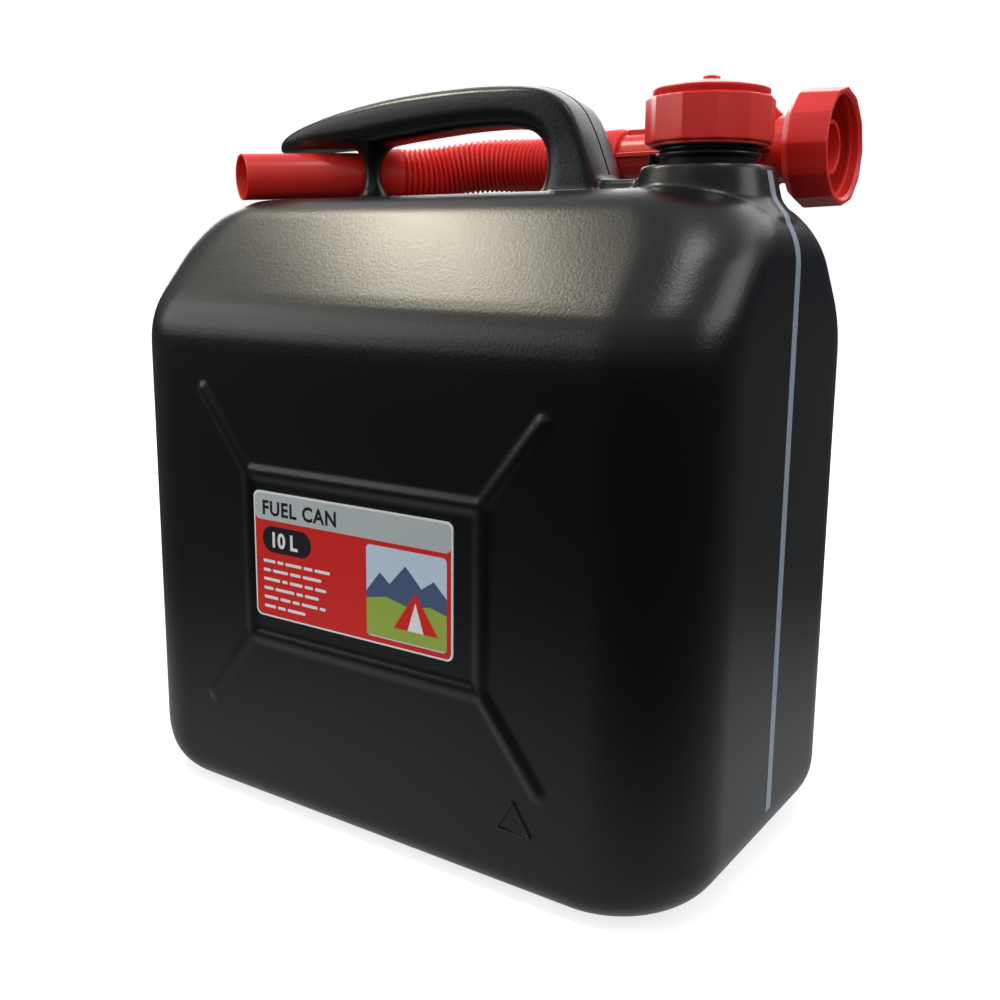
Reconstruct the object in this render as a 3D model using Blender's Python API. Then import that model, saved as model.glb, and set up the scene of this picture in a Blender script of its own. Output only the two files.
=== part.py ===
"""Ten-litre fuel can: a blow-moulded can with its handle and threaded neck, a screw cap, and a flexible
pouring spout that is stored bent round the handle's front pillar, with its tip under the handle's nose.

Metres, +Z up. The origin is the centre of the can's base, +X runs towards the filler neck and the front,
with the label, faces -Y.
"""

import math

import bmesh
import bpy
from mathutils import Matrix, Vector

# Shared clearances and overruns
FIT_GAP = 0.0003
CUT_OVERRUN = 0.002
SINK = 0.0008

# Colours and roughness
BLACK = (0.012, 0.013, 0.015)
STRIPE_GREY = (0.24, 0.28, 0.33)
LABEL_RED = (0.55, 0.03, 0.03)
RED = (0.62, 0.025, 0.018)
DARK_GREY = (0.03, 0.03, 0.03)
GLOSSY = 0.32
SATIN = 0.45
MATT = 0.70

# Can body
BODY_WIDTH = 0.290
BODY_DEPTH = 0.170
TOTAL_HEIGHT = 0.315
HANDLE_RISE = 0.0465
SHOULDER_RISE = 0.052
PLATEAU_HEIGHT = TOTAL_HEIGHT - HANDLE_RISE
EAVE_HEIGHT = PLATEAU_HEIGHT - SHOULDER_RISE
PLATEAU_DEPTH_SHARE = 0.486
PLATEAU_DEPTH = BODY_DEPTH * PLATEAU_DEPTH_SHARE
CORNER_RADIUS = 0.038
CORNER_DEPTH_SHARE = 0.94
BASE_END_RADIUS = 0.023
BASE_FRONT_RADIUS = 0.0127
TOP_END_RADIUS = 0.028
EAVE_RADIUS = 0.034
BROW_RADIUS = 0.026
WALL = 0.002
CORNER_STEPS = 8
ARC_STEPS = 5

# Moulded ribs round the label panel, on the front and on the back
RIB_CENTRE_SHARE = 0.536
RIB_CENTRE_HEIGHT = EAVE_HEIGHT * RIB_CENTRE_SHARE
RIB_FRAME_WIDTH = 0.122
RIB_FRAME_HEIGHT = 0.0726
RIB_DIAGONAL_WIDTH = 0.0262
RIB_DIAGONAL_HEIGHT = 0.0333
RIB_END_WIDTH = RIB_FRAME_WIDTH + 2 * RIB_DIAGONAL_WIDTH
RIB_END_HEIGHT = RIB_FRAME_HEIGHT + 2 * RIB_DIAGONAL_HEIGHT
RIB_BREADTH = 0.0055
RIB_RISE = 0.0013
RIB_STEPS = 4

# Label, inside the frame of ribs
LABEL_SIDE_MARGIN = 0.00525
LABEL_END_MARGIN = 0.00605
LABEL_WIDTH = RIB_FRAME_WIDTH - RIB_BREADTH - 2 * LABEL_SIDE_MARGIN
LABEL_HEIGHT = RIB_FRAME_HEIGHT - RIB_BREADTH - 2 * LABEL_END_MARGIN
LABEL_THICKNESS = 0.0004
LABEL_CORNER = 0.003
LABEL_OFFSET_X = -0.0044
LABEL_OFFSET_Z = 0.0014

# Neck block and threaded neck
NECK_INSET = 0.038
NECK_X = BODY_WIDTH / 2 - NECK_INSET
BLOCK_SIZE = 0.049
BLOCK_CORNER = 0.0205
BLOCK_RISE = 0.009
BLOCK_TOP = PLATEAU_HEIGHT + BLOCK_RISE
BLOCK_DRAFT = 0.0028
BLOCK_FLARE = 0.006
BLOCK_EDGE = 0.0015
BLOCK_ROOT_DEPTH = 0.020
BLOCK_FOOT_DEPTH = 0.0125
BLOCK_WALL = 0.003
BRIDGE_OFFSET = 0.035
BRIDGE_X = NECK_X - BRIDGE_OFFSET
BRIDGE_LENGTH = 0.030
BRIDGE_WIDTH = 0.020
BRIDGE_RISE = 0.005
BRIDGE_CORNER = 0.006
BRIDGE_DRAFT = 0.002
LUG_OFFSET = 0.0234
LUG_X = NECK_X - LUG_OFFSET
LUG_LENGTH = 0.003
LUG_WIDTH = 0.007
LUG_RISE = 0.0055
LUG_CORNER = 0.001
NECK_LENGTH = 0.0217
NECK_TOP = BLOCK_TOP + NECK_LENGTH
NECK_RADIUS = 0.0186
NECK_BORE_RADIUS = 0.0166
BEAD_RADIUS = 0.0201
BEAD_HEIGHT = 0.003
BEAD_LIFT = 0.0025
NECK_STEPS = 40

# Thread, shared by the neck, the cap and the spout's nut
THREAD_PITCH = 0.005
THREAD_TURNS = 1.5
THREAD_DEPTH = 0.0013
THREAD_ROOT_BREADTH = 0.0024
THREAD_CREST_BREADTH = 0.0011
THREAD_CLEARANCE = 0.0004
THREAD_START = 0.0100
THREAD_STEPS_PER_TURN = 28
THREAD_RUNOUT_SHARE = 0.1
FEMALE_THREAD_SHORTFALL = 0.25

# Handle: places are shares of its span and of its rise above the plateau
HANDLE_NOSE_SHARE = -0.402
HANDLE_SPAN_SHARE = 0.6365
HANDLE_NOSE_X = BODY_WIDTH * HANDLE_NOSE_SHARE
HANDLE_SPAN = BODY_WIDTH * HANDLE_SPAN_SHARE
HANDLE_WIDTH = 0.026
GRIP_ROUND_SHARE = 0.40
LEG_ROUND_SHARE = 0.22
HANDLE_INNER_ROUND_SHARE = 0.80
GRIP_CROWN_SHARE = 0.32
LEG_CROWN_SHARE = 0.10
LEG_START_SHARE = 0.72
LEG_END_SHARE = 0.90
HANDLE_CROWN_STEPS = 4
HANDLE_WALL = 0.0026
HANDLE_SIDE_STEPS = 5
HANDLE_HOLLOW_FROM = 4
# Each row: outer x and z, inner x and z, width
HANDLE_STATION_SHARES = (
    (0.000, 0.535, 0.004, 0.503, 0.42),
    (0.010, 0.600, 0.024, 0.503, 0.62),
    (0.040, 0.677, 0.054, 0.505, 0.80),
    (0.084, 0.740, 0.090, 0.510, 0.92),
    (0.139, 0.800, 0.139, 0.514, 1.00),
    (0.214, 0.871, 0.214, 0.514, 1.00),
    (0.307, 0.931, 0.307, 0.518, 1.00),
    (0.392, 0.968, 0.397, 0.553, 1.00),
    (0.488, 0.991, 0.493, 0.583, 1.00),
    (0.588, 1.000, 0.588, 0.609, 1.00),
    (0.691, 0.996, 0.691, 0.617, 1.00),
    (0.778, 0.966, 0.759, 0.596, 1.00),
    (0.846, 0.901, 0.805, 0.540, 1.00),
    (0.900, 0.772, 0.831, 0.437, 1.00),
    (0.935, 0.570, 0.840, 0.299, 1.00),
    (0.961, 0.335, 0.834, 0.140, 1.03),
    (0.982, 0.120, 0.816, -0.002, 1.08),
    (1.000, -0.095, 0.794, -0.129, 1.12),
)

# Front pillar of the handle, an hourglass
PILLAR_SHARE = -0.2138
PILLAR_X = BODY_WIDTH * PILLAR_SHARE
PILLAR_WAIST_RADIUS = 0.0040
PILLAR_WAIST_HEIGHT = 0.0125
PILLAR_FLARE_RADIUS = 0.0105
PILLAR_TOP_RADIUS = 0.0085
PILLAR_FLARE_SHARES = (-1.25, -1.0, -0.75, -0.5, 0.0, 0.5, 0.75, 1.0, 1.25)
PILLAR_STEPS = 16

# Level stripe, let into the right-hand end
STRIPE_WIDTH = 0.005
STRIPE_THICKNESS = 0.0008
STRIPE_BOTTOM = 0.022
STRIPE_TOP_MARGIN = 0.0022
STRIPE_STEPS = 34

# Filler cap
CAP_RADIUS = 0.0246
CAP_FLUTES = 12
CAP_FLUTE_DEPTH = 0.0011
CAP_FLUTE_STEPS = 4
CAP_LIFT = 0.0071
CAP_TOP_MARGIN = 0.0032
CAP_BOTTOM = BLOCK_TOP + CAP_LIFT
CAP_SKIRT_TOP = NECK_TOP + CAP_TOP_MARGIN
CAP_EDGE = 0.0008
CAP_RIM_HEIGHT = 0.0012
CAP_RIM_INSET = 0.0012
CAP_DISC_RADIUS = 0.0226
CAP_DISC_HEIGHT = 0.0046
CAP_DOME_RISE = 0.0016
CAP_NUB_RADIUS = 0.0034
CAP_NUB_HEIGHT = 0.0024
CAP_ROOF = 0.0024
CAP_LEDGE_HEIGHT = 0.0012
LINER_THICKNESS = 0.0016
LINER_HOLE_RADIUS = 0.006

# Spout: the base and its nut share an axis along +X, measured from the nut's mouth; the tip has its own
NUT_RADIUS = 0.0243
NUT_MOUTH_RADIUS = 0.0237
SPOUT_MOUTH_OFFSET = 0.0341
SPOUT_CAP_GAP = 0.0091
SPOUT_LIFT = 0.020
SPOUT_MOUTH_X = NECK_X + SPOUT_MOUTH_OFFSET
SPOUT_AXIS_Y = CAP_RADIUS + NUT_RADIUS + SPOUT_CAP_GAP
SPOUT_AXIS_HEIGHT = PLATEAU_HEIGHT + SPOUT_LIFT
NUT_SIDES = 12
NUT_LENGTH = 0.0196
NUT_BACK_WALL = 0.0026
NUT_CHAMFER = 0.0035
NUT_MOUTH_STEP = 0.0012
NUT_THREAD_INSET = 0.0035
BASE_TUBE_RADIUS = 0.0100
BASE_WALL = 0.0018
BASE_REACH = 0.1111
BASE_SNOUT_DEPTH = 0.0054
BASE_SNOUT_RADIUS = 0.0110
BASE_FLANGE_RADIUS = 0.0195
BASE_FLANGE_THICKNESS = 0.0022
BASE_HUB_RADIUS = 0.0138
BASE_HUB_LENGTH = 0.0105
BASE_HUB_SLOPE = 0.0035
FIN_COUNT = 4
FIN_RADIUS = 0.0121
FIN_THICKNESS = 0.0022
FIN_MARGIN = 0.0010
GUSSET_GAP = 0.0064
GUSSET_FALL_LENGTH = 0.0078
GUSSET_LENGTH = 0.004
GUSSET_SLOPE_LENGTH = 0.012
GUSSET_RADIUS = 0.0215
GUSSET_FOOT_RADIUS = 0.0134
SEAL_THICKNESS = 0.0018
SEAL_INNER_RADIUS = 0.0142
ROUND_STEPS = 32

# Hose and tip
HOSE_RADIUS = 0.0125
HOSE_ROOT_RADIUS = 0.0111
HOSE_BORE_RADIUS = 0.0094
HOSE_SAG = 0.0024
HOSE_SAG_START_SHARE = 0.085
HOSE_SAG_END_SHARE = 0.88
HOSE_RIBS = 39
HOSE_STEPS = 16
HOSE_BORE_STEPS = 20
BEND_RADIUS = 0.075
CUFF_LENGTH = 0.012
CUFF_BORE_DEPTH = 0.010
TIP_RADIUS = 0.0107
TIP_WALL = 0.0013
TIP_TURN = math.radians(48.0)
TIP_RISE = math.radians(2.0)
TIP_PILLAR_OFFSET = 0.023
TIP_CLEARANCE = 0.0015
TIP_CROSSING_X = PILLAR_X - TIP_PILLAR_OFFSET
TIP_CROSSING_HEIGHT = PLATEAU_HEIGHT + TIP_RADIUS + TIP_CLEARANCE
TIP_REACH = 0.0446
TIP_SOCKET_REACH = 0.0198
TIP_CUT = math.radians(13.5)
TIP_STEPS = 24


def clear_scene():
    for obj in list(bpy.data.objects):
        bpy.data.objects.remove(obj, do_unlink=True)


def make_material(name, colour, roughness):
    material = bpy.data.materials.new(name)
    material.use_nodes = True
    shader = material.node_tree.nodes["Principled BSDF"]
    shader.inputs["Base Color"].default_value = (*colour, 1)
    shader.inputs["Roughness"].default_value = roughness
    shader.inputs["Metallic"].default_value = 0
    material.diffuse_color = (*colour, 1)
    return material


def loft(rings, loop=False):
    """A closed bmesh through rings of equal length; a loop joins the last ring to the first."""
    bm = bmesh.new()
    rows = [[bm.verts.new(point) for point in ring] for ring in rings]
    pairs = list(zip(rows, rows[1:]))
    if loop:
        pairs.append((rows[-1], rows[0]))
    for lower, upper in pairs:
        count = len(lower)
        for i in range(count):
            j = (i + 1) % count
            bm.faces.new((lower[i], lower[j], upper[j], upper[i]))
    if not loop:
        bm.faces.new(list(reversed(rows[0])))
        bm.faces.new(rows[-1])
    bmesh.ops.recalc_face_normals(bm, faces=bm.faces)
    return bm


def add_object(name, bm, material, frame=None):
    mesh = bpy.data.meshes.new(name)
    bm.to_mesh(mesh)
    bm.free()
    mesh.materials.append(material)
    mesh.shade_smooth()
    mesh.set_sharp_from_angle(angle=math.radians(40))
    obj = bpy.data.objects.new(name, mesh)
    bpy.context.scene.collection.objects.link(obj)
    if frame is not None:
        obj.matrix_world = frame
    return obj


def add_tool(name, bm, material, frame=None):
    """A helper solid for a Boolean, left out of the part."""
    tool = add_object(name, bm, material, frame)
    tool.hide_render = True
    tool.display_type = "WIRE"
    return tool


def combine(target, tool, operation):
    modifier = target.modifiers.new(tool.name, "BOOLEAN")
    modifier.operation = operation
    modifier.solver = "EXACT"
    modifier.object = tool


def circle(radius, height, steps, centre_x=0):
    angles = (2 * math.pi * i / steps for i in range(steps))
    return [Vector((centre_x + radius * math.cos(a), radius * math.sin(a), height)) for a in angles]


def rounded_rectangle(half_x, half_y, radius, height, steps, centre_x=0):
    points = []
    for quarter, (side_x, side_y) in enumerate(((1, 1), (-1, 1), (-1, -1), (1, -1))):
        for i in range(steps + 1):
            angle = math.pi / 2 * (quarter + i / steps)
            x = centre_x + side_x * (half_x - radius) + radius * math.cos(angle)
            y = side_y * (half_y - radius) + radius * math.sin(angle)
            points.append(Vector((x, y, height)))
    return points


def edge_inset(distance, radius):
    """How far a rounded edge has drawn in, at a distance from its tangent plane."""
    if distance >= radius:
        return 0
    return radius - math.sqrt(radius**2 - (radius - max(distance, 0)) ** 2)


def shoulder_profile():
    """(half depth, height) from the eave to the plateau, with both bends rounded."""
    eave = Vector((BODY_DEPTH / 2, EAVE_HEIGHT))
    brow = Vector((PLATEAU_DEPTH / 2, PLATEAU_HEIGHT))
    slope = (brow - eave).normalized()
    lean = math.atan2(-slope.x, slope.y)
    points = []
    centre = eave + Vector((-EAVE_RADIUS, -EAVE_RADIUS * math.tan(lean / 2)))
    for i in range(ARC_STEPS + 1):
        angle = lean * i / ARC_STEPS
        points.append(centre + EAVE_RADIUS * Vector((math.cos(angle), math.sin(angle))))
    rest = math.pi / 2 - lean
    centre = brow + Vector((-BROW_RADIUS * math.tan(rest / 2), -BROW_RADIUS))
    for i in range(ARC_STEPS + 1):
        angle = lean + rest * i / ARC_STEPS
        points.append(centre + BROW_RADIUS * Vector((math.cos(angle), math.sin(angle))))
    return points


def body_sections():
    """(height, half width, half depth, corner radius) from the base to the plateau."""
    sections = []
    for i in range(ARC_STEPS + 1):
        height = BASE_END_RADIUS * (1 - math.cos(math.pi / 2 * i / ARC_STEPS))
        sections.append((height, BODY_DEPTH / 2 - edge_inset(height, BASE_FRONT_RADIUS)))
    sections += [(point.y, point.x) for point in shoulder_profile()]
    rows = []
    for height, half_depth in sections:
        half_width = BODY_WIDTH / 2 - edge_inset(height, BASE_END_RADIUS)
        half_width -= edge_inset(PLATEAU_HEIGHT - height, TOP_END_RADIUS)
        corner = CORNER_RADIUS - edge_inset(height, BASE_FRONT_RADIUS)
        rows.append((height, half_width, half_depth, min(corner, CORNER_DEPTH_SHARE * half_depth)))
    return rows


def body_rings(wall):
    """Rings of the can's outside, or of its inside when a wall is given."""
    rings = []
    squeeze = 1 - 2 * wall / PLATEAU_HEIGHT
    for height, half_width, half_depth, corner in body_sections():
        level = wall + height * squeeze
        sides = (half_width - wall, half_depth - wall, corner - wall)
        rings.append(rounded_rectangle(*sides, level, CORNER_STEPS))
    return rings


def block_sections():
    """(height, half size) of the neck block from its root inside the can to its top."""
    half = BLOCK_SIZE / 2
    foot = BLOCK_TOP - BLOCK_FOOT_DEPTH
    return (
        (BLOCK_TOP - BLOCK_ROOT_DEPTH, half + BLOCK_DRAFT + BLOCK_FLARE),
        (foot, half + BLOCK_DRAFT),
        (BLOCK_TOP - BLOCK_EDGE, half),
        (BLOCK_TOP, half - BLOCK_EDGE),
    )


def block_rings():
    growth = BLOCK_SIZE / 2 - BLOCK_CORNER
    return [
        rounded_rectangle(half, half, half - growth, height, CORNER_STEPS, NECK_X)
        for height, half in block_sections()
    ]


def bridge_rings():
    """A low bridge on the plateau from the handle's rear leg to the neck block."""
    rings = []
    for height, growth in ((PLATEAU_HEIGHT - SINK, BRIDGE_DRAFT), (PLATEAU_HEIGHT + BRIDGE_RISE, 0)):
        half_x = BRIDGE_LENGTH / 2 + growth
        half_y = BRIDGE_WIDTH / 2 + growth
        rings.append(rounded_rectangle(half_x, half_y, BRIDGE_CORNER, height, CORNER_STEPS, BRIDGE_X))
    return rings


def lug_rings():
    """A small stop on the neck block, just outside the cap's rim."""
    heights = (BLOCK_TOP - SINK, BLOCK_TOP + LUG_RISE)
    return [
        rounded_rectangle(LUG_LENGTH / 2, LUG_WIDTH / 2, LUG_CORNER, height, RIB_STEPS, LUG_X)
        for height in heights
    ]


def handle_place(share_x, share_z):
    return Vector((HANDLE_NOSE_X + HANDLE_SPAN * share_x, 0, PLATEAU_HEIGHT + HANDLE_RISE * share_z))


def handle_section(half_width, half_height, share_x):
    """Crowned and soft-edged outside along the grip, flatter and tighter down the rear leg."""
    blend = (share_x - LEG_START_SHARE) / (LEG_END_SHARE - LEG_START_SHARE)
    blend = min(1, max(0, blend))
    crown_share = GRIP_CROWN_SHARE + (LEG_CROWN_SHARE - GRIP_CROWN_SHARE) * blend
    smaller = min(half_width, half_height)
    edge = (GRIP_ROUND_SHARE + (LEG_ROUND_SHARE - GRIP_ROUND_SHARE) * blend) * smaller
    inner_edge = HANDLE_INNER_ROUND_SHARE * smaller
    outer = rounded_rectangle(half_width, half_height, edge, 0, HANDLE_SIDE_STEPS)
    inner = rounded_rectangle(half_width, half_height, inner_edge, 0, HANDLE_SIDE_STEPS)
    quarter = HANDLE_SIDE_STEPS + 1
    shares = (1 - 2 * k / HANDLE_CROWN_STEPS for k in range(1, HANDLE_CROWN_STEPS))
    crown = [Vector(((half_width - edge) * share, half_height, 0)) for share in shares]
    upper = outer[:quarter] + crown + outer[quarter : 2 * quarter]
    for point in upper:
        point.y *= 1 - crown_share * (point.x / half_width) ** 2
    return upper + inner[2 * quarter :]


def handle_ring(station, wall):
    """A rounded section of the handle between its outer and its inner line."""
    outer_x, outer_z, inner_x, inner_z, width_share = station
    outer = handle_place(outer_x, outer_z)
    inner = handle_place(inner_x, inner_z)
    middle = (outer + inner) / 2
    across = (outer - inner) / 2
    half_height = across.length - wall
    half_width = HANDLE_WIDTH * width_share / 2 - wall
    direction = across.normalized()
    flat = handle_section(half_width, half_height, outer_x)
    return [middle + Vector((0, point.x, 0)) + direction * point.y for point in flat]


def handle_rings(wall=0, first=0):
    return [handle_ring(station, wall) for station in HANDLE_STATION_SHARES[first:]]


def pillar_rings():
    rings = []
    for share in PILLAR_FLARE_SHARES:
        radius = PILLAR_WAIST_RADIUS + (PILLAR_FLARE_RADIUS - PILLAR_WAIST_RADIUS) * abs(share) ** 3
        if share > 0:
            radius = min(radius, PILLAR_TOP_RADIUS)
        height = PLATEAU_HEIGHT + PILLAR_WAIST_HEIGHT * (1 + share)
        rings.append(circle(radius, height, PILLAR_STEPS, PILLAR_X))
    return rings


def rib_bar(start, end):
    """A half-round bar on the front face, from start to end in x and z, with rounded ends."""
    along = (end - start).normalized()
    side = Vector((-along.z, 0, along.x))
    face = Vector((0, -BODY_DEPTH / 2, 0))
    rings = []
    for place, swell in ((0, 0), (0, 1), (1, 1), (1, 0)):
        reach = RIB_BREADTH / 2 * (1 - swell) * (1 if place else -1)
        centre = start + (end - start) * place + along * reach + face
        breadth = RIB_BREADTH / 2 * (1 + swell) / 2
        ring = []
        for i in range(RIB_STEPS + 1):
            angle = math.pi * i / RIB_STEPS
            rise = RIB_RISE * (1 + swell) / 2 * math.sin(angle)
            ring.append(centre + side * breadth * math.cos(angle) - Vector((0, rise, 0)))
        ring.append(centre - side * breadth + Vector((0, SINK, 0)))
        ring.append(centre + side * breadth + Vector((0, SINK, 0)))
        rings.append(ring)
    return rings


def rib_corner(width, height, side_x, side_z):
    return Vector((side_x * width / 2, 0, RIB_CENTRE_HEIGHT + side_z * height / 2))


def merge_front_and_back(bms):
    """One bmesh of all the given ones and of their copies turned to the back face."""
    merged = bmesh.new()
    for bm in bms:
        mesh = bpy.data.meshes.new("rib_scratch")
        bm.to_mesh(mesh)
        bm.free()
        merged.from_mesh(mesh)
        mesh.transform(Matrix.Rotation(math.pi, 4, "Z"))
        merged.from_mesh(mesh)
        bpy.data.meshes.remove(mesh)
    return merged


def diagonal_ribs():
    bars = []
    for side_x in (-1, 1):
        for side_z in (-1, 1):
            start = rib_corner(RIB_FRAME_WIDTH, RIB_FRAME_HEIGHT, side_x, side_z)
            end = rib_corner(RIB_END_WIDTH, RIB_END_HEIGHT, side_x, side_z)
            bars.append(loft(rib_bar(start, end)))
    return merge_front_and_back(bars)


def frame_ribs():
    """The rectangular ridge round the panel, one closed run with mitred corners."""
    angles = [math.pi * i / RIB_STEPS for i in range(RIB_STEPS + 1)]
    profile = [(math.cos(angle), math.sin(angle)) for angle in angles]
    rings = []
    for side_x, side_z in ((1, 1), (-1, 1), (-1, -1), (1, -1)):
        ring = []
        for outward, rise in profile:
            spread = RIB_BREADTH * outward
            corner = rib_corner(RIB_FRAME_WIDTH + spread, RIB_FRAME_HEIGHT + spread, side_x, side_z)
            ring.append(corner - Vector((0, BODY_DEPTH / 2 + RIB_RISE * rise, 0)))
        for outward in (-1, 1):
            spread = RIB_BREADTH * outward
            corner = rib_corner(RIB_FRAME_WIDTH + spread, RIB_FRAME_HEIGHT + spread, side_x, side_z)
            ring.append(corner - Vector((0, BODY_DEPTH / 2 - SINK, 0)))
        rings.append(ring)
    return merge_front_and_back([loft(rings, loop=True)])


def thread_rings(radius, depth_sign, start, turns):
    """A tapered thread ridge; it grows outwards from the radius when depth_sign is 1, inwards when -1."""
    rings = []
    steps = round(THREAD_STEPS_PER_TURN * turns)
    for i in range(steps + 1):
        share = i / steps
        fade = min(1, share / THREAD_RUNOUT_SHARE, (1 - share) / THREAD_RUNOUT_SHARE)
        crest = radius + depth_sign * (THREAD_DEPTH * fade - SINK / 2 * (1 - fade))
        root = radius - depth_sign * SINK
        angle = 2 * math.pi * turns * share
        middle = start + THREAD_PITCH * turns * share
        spoke = Vector((math.cos(angle), math.sin(angle), 0))
        half_root = THREAD_ROOT_BREADTH / 2
        half_crest = THREAD_CREST_BREADTH / 2
        corners = ((root, -half_root), (crest, -half_crest), (crest, half_crest), (root, half_root))
        rings.append([spoke * reach + Vector((0, 0, middle + lift)) for reach, lift in corners])
    return rings


def female_radius():
    """The plain bore that the neck's thread turns in."""
    return NECK_RADIUS + THREAD_DEPTH + THREAD_CLEARANCE


def neck_rings():
    bead_bottom = BLOCK_TOP + BEAD_LIFT
    profile = (
        (NECK_RADIUS, BLOCK_TOP - CUT_OVERRUN),
        (NECK_RADIUS, bead_bottom),
        (BEAD_RADIUS, bead_bottom + BEAD_HEIGHT / 3),
        (BEAD_RADIUS, bead_bottom + BEAD_HEIGHT * 2 / 3),
        (NECK_RADIUS, bead_bottom + BEAD_HEIGHT),
        (NECK_RADIUS, NECK_TOP),
    )
    return [circle(radius, height, NECK_STEPS, NECK_X) for radius, height in profile]


def neck_bore_rings():
    wide = BLOCK_SIZE / 2 - BLOCK_WALL
    step = BLOCK_TOP - BLOCK_WALL
    profile = (
        (wide, BLOCK_TOP - BLOCK_ROOT_DEPTH - CUT_OVERRUN),
        (wide, step),
        (NECK_BORE_RADIUS, step),
        (NECK_BORE_RADIUS, NECK_TOP + CUT_OVERRUN),
    )
    return [circle(radius, height, NECK_STEPS, NECK_X) for radius, height in profile]


def end_outline(height):
    """The furthest x of the can's right-hand end on its centre plane."""
    half_width = BODY_WIDTH / 2 - edge_inset(height, BASE_END_RADIUS)
    half_width -= edge_inset(PLATEAU_HEIGHT - height, TOP_END_RADIUS)
    foot_height, foot_half = block_sections()[1]
    top_height, top_half = block_sections()[2]
    if height < foot_height:
        return half_width
    share = min(1, (height - foot_height) / (top_height - foot_height))
    return max(half_width, NECK_X + foot_half + (top_half - foot_half) * share)


def stripe_rings(half_width, top_depth, bottom_depth, overrun):
    """The stripe's run up the end, between two depths below the surface."""
    bottom = STRIPE_BOTTOM - overrun
    top = BLOCK_TOP - STRIPE_TOP_MARGIN + overrun
    rings = []
    for i in range(STRIPE_STEPS + 1):
        height = bottom + (top - bottom) * i / STRIPE_STEPS
        delta = (top - bottom) / STRIPE_STEPS
        slope = (end_outline(height + delta) - end_outline(height - delta)) / (2 * delta)
        normal = Vector((1, 0, -slope)).normalized()
        surface = Vector((end_outline(height), 0, height))
        outside = surface - normal * top_depth
        inside = surface - normal * bottom_depth
        side = Vector((0, half_width, 0))
        rings.append([outside + side, outside - side, inside - side, inside + side])
    return rings


def build_can(material):
    body = add_object("can_body", loft(body_rings(0)), material)
    unions = (
        ("neck_block_tool", loft(block_rings())),
        ("handle_tool", loft(handle_rings())),
        ("pillar_tool", loft(pillar_rings())),
        ("neck_tool", loft(neck_rings())),
        ("bridge_tool", loft(bridge_rings())),
        ("lug_tool", loft(lug_rings())),
        ("frame_ribs_tool", frame_ribs()),
        ("diagonal_ribs_tool", diagonal_ribs()),
    )
    for name, bm in unions:
        combine(body, add_tool(name, bm, material), "UNION")
    thread = loft(thread_rings(NECK_RADIUS, 1, BLOCK_TOP + THREAD_START, THREAD_TURNS))
    thread_frame = Matrix.Translation((NECK_X, 0, 0))
    combine(body, add_tool("neck_thread_tool", thread, material, thread_frame), "UNION")
    depth = STRIPE_THICKNESS + FIT_GAP
    groove = stripe_rings(STRIPE_WIDTH / 2 + FIT_GAP, -CUT_OVERRUN, depth, FIT_GAP)
    cuts = (
        ("cavity_tool", loft(body_rings(WALL))),
        ("neck_bore_tool", loft(neck_bore_rings())),
        ("handle_hollow_tool", loft(handle_rings(HANDLE_WALL, HANDLE_HOLLOW_FROM))),
        ("stripe_groove_tool", loft(groove)),
    )
    for name, bm in cuts:
        combine(body, add_tool(name, bm, material), "DIFFERENCE")
    return body


def build_label(material):
    ring = rounded_rectangle(LABEL_WIDTH / 2, LABEL_HEIGHT / 2, LABEL_CORNER, 0, 3)
    thickness = Vector((0, 0, LABEL_THICKNESS))
    bm = loft([ring, [point + thickness for point in ring]])
    height = RIB_CENTRE_HEIGHT + LABEL_OFFSET_Z
    place = Matrix.Translation((LABEL_OFFSET_X, -BODY_DEPTH / 2 - FIT_GAP, height))
    return add_object("label", bm, material, place @ Matrix.Rotation(math.pi / 2, 4, "X"))


def fluted_ring(radius, depth, height):
    """A ring with sharp ridges and hollow flutes between them."""
    ring = []
    count = CAP_FLUTES * CAP_FLUTE_STEPS
    for i in range(count):
        angle = 2 * math.pi * i / count
        share = (i % CAP_FLUTE_STEPS) / CAP_FLUTE_STEPS
        reach = radius - depth * math.sin(math.pi * share)
        ring.append(Vector((reach * math.cos(angle), reach * math.sin(angle), height)))
    return ring


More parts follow.
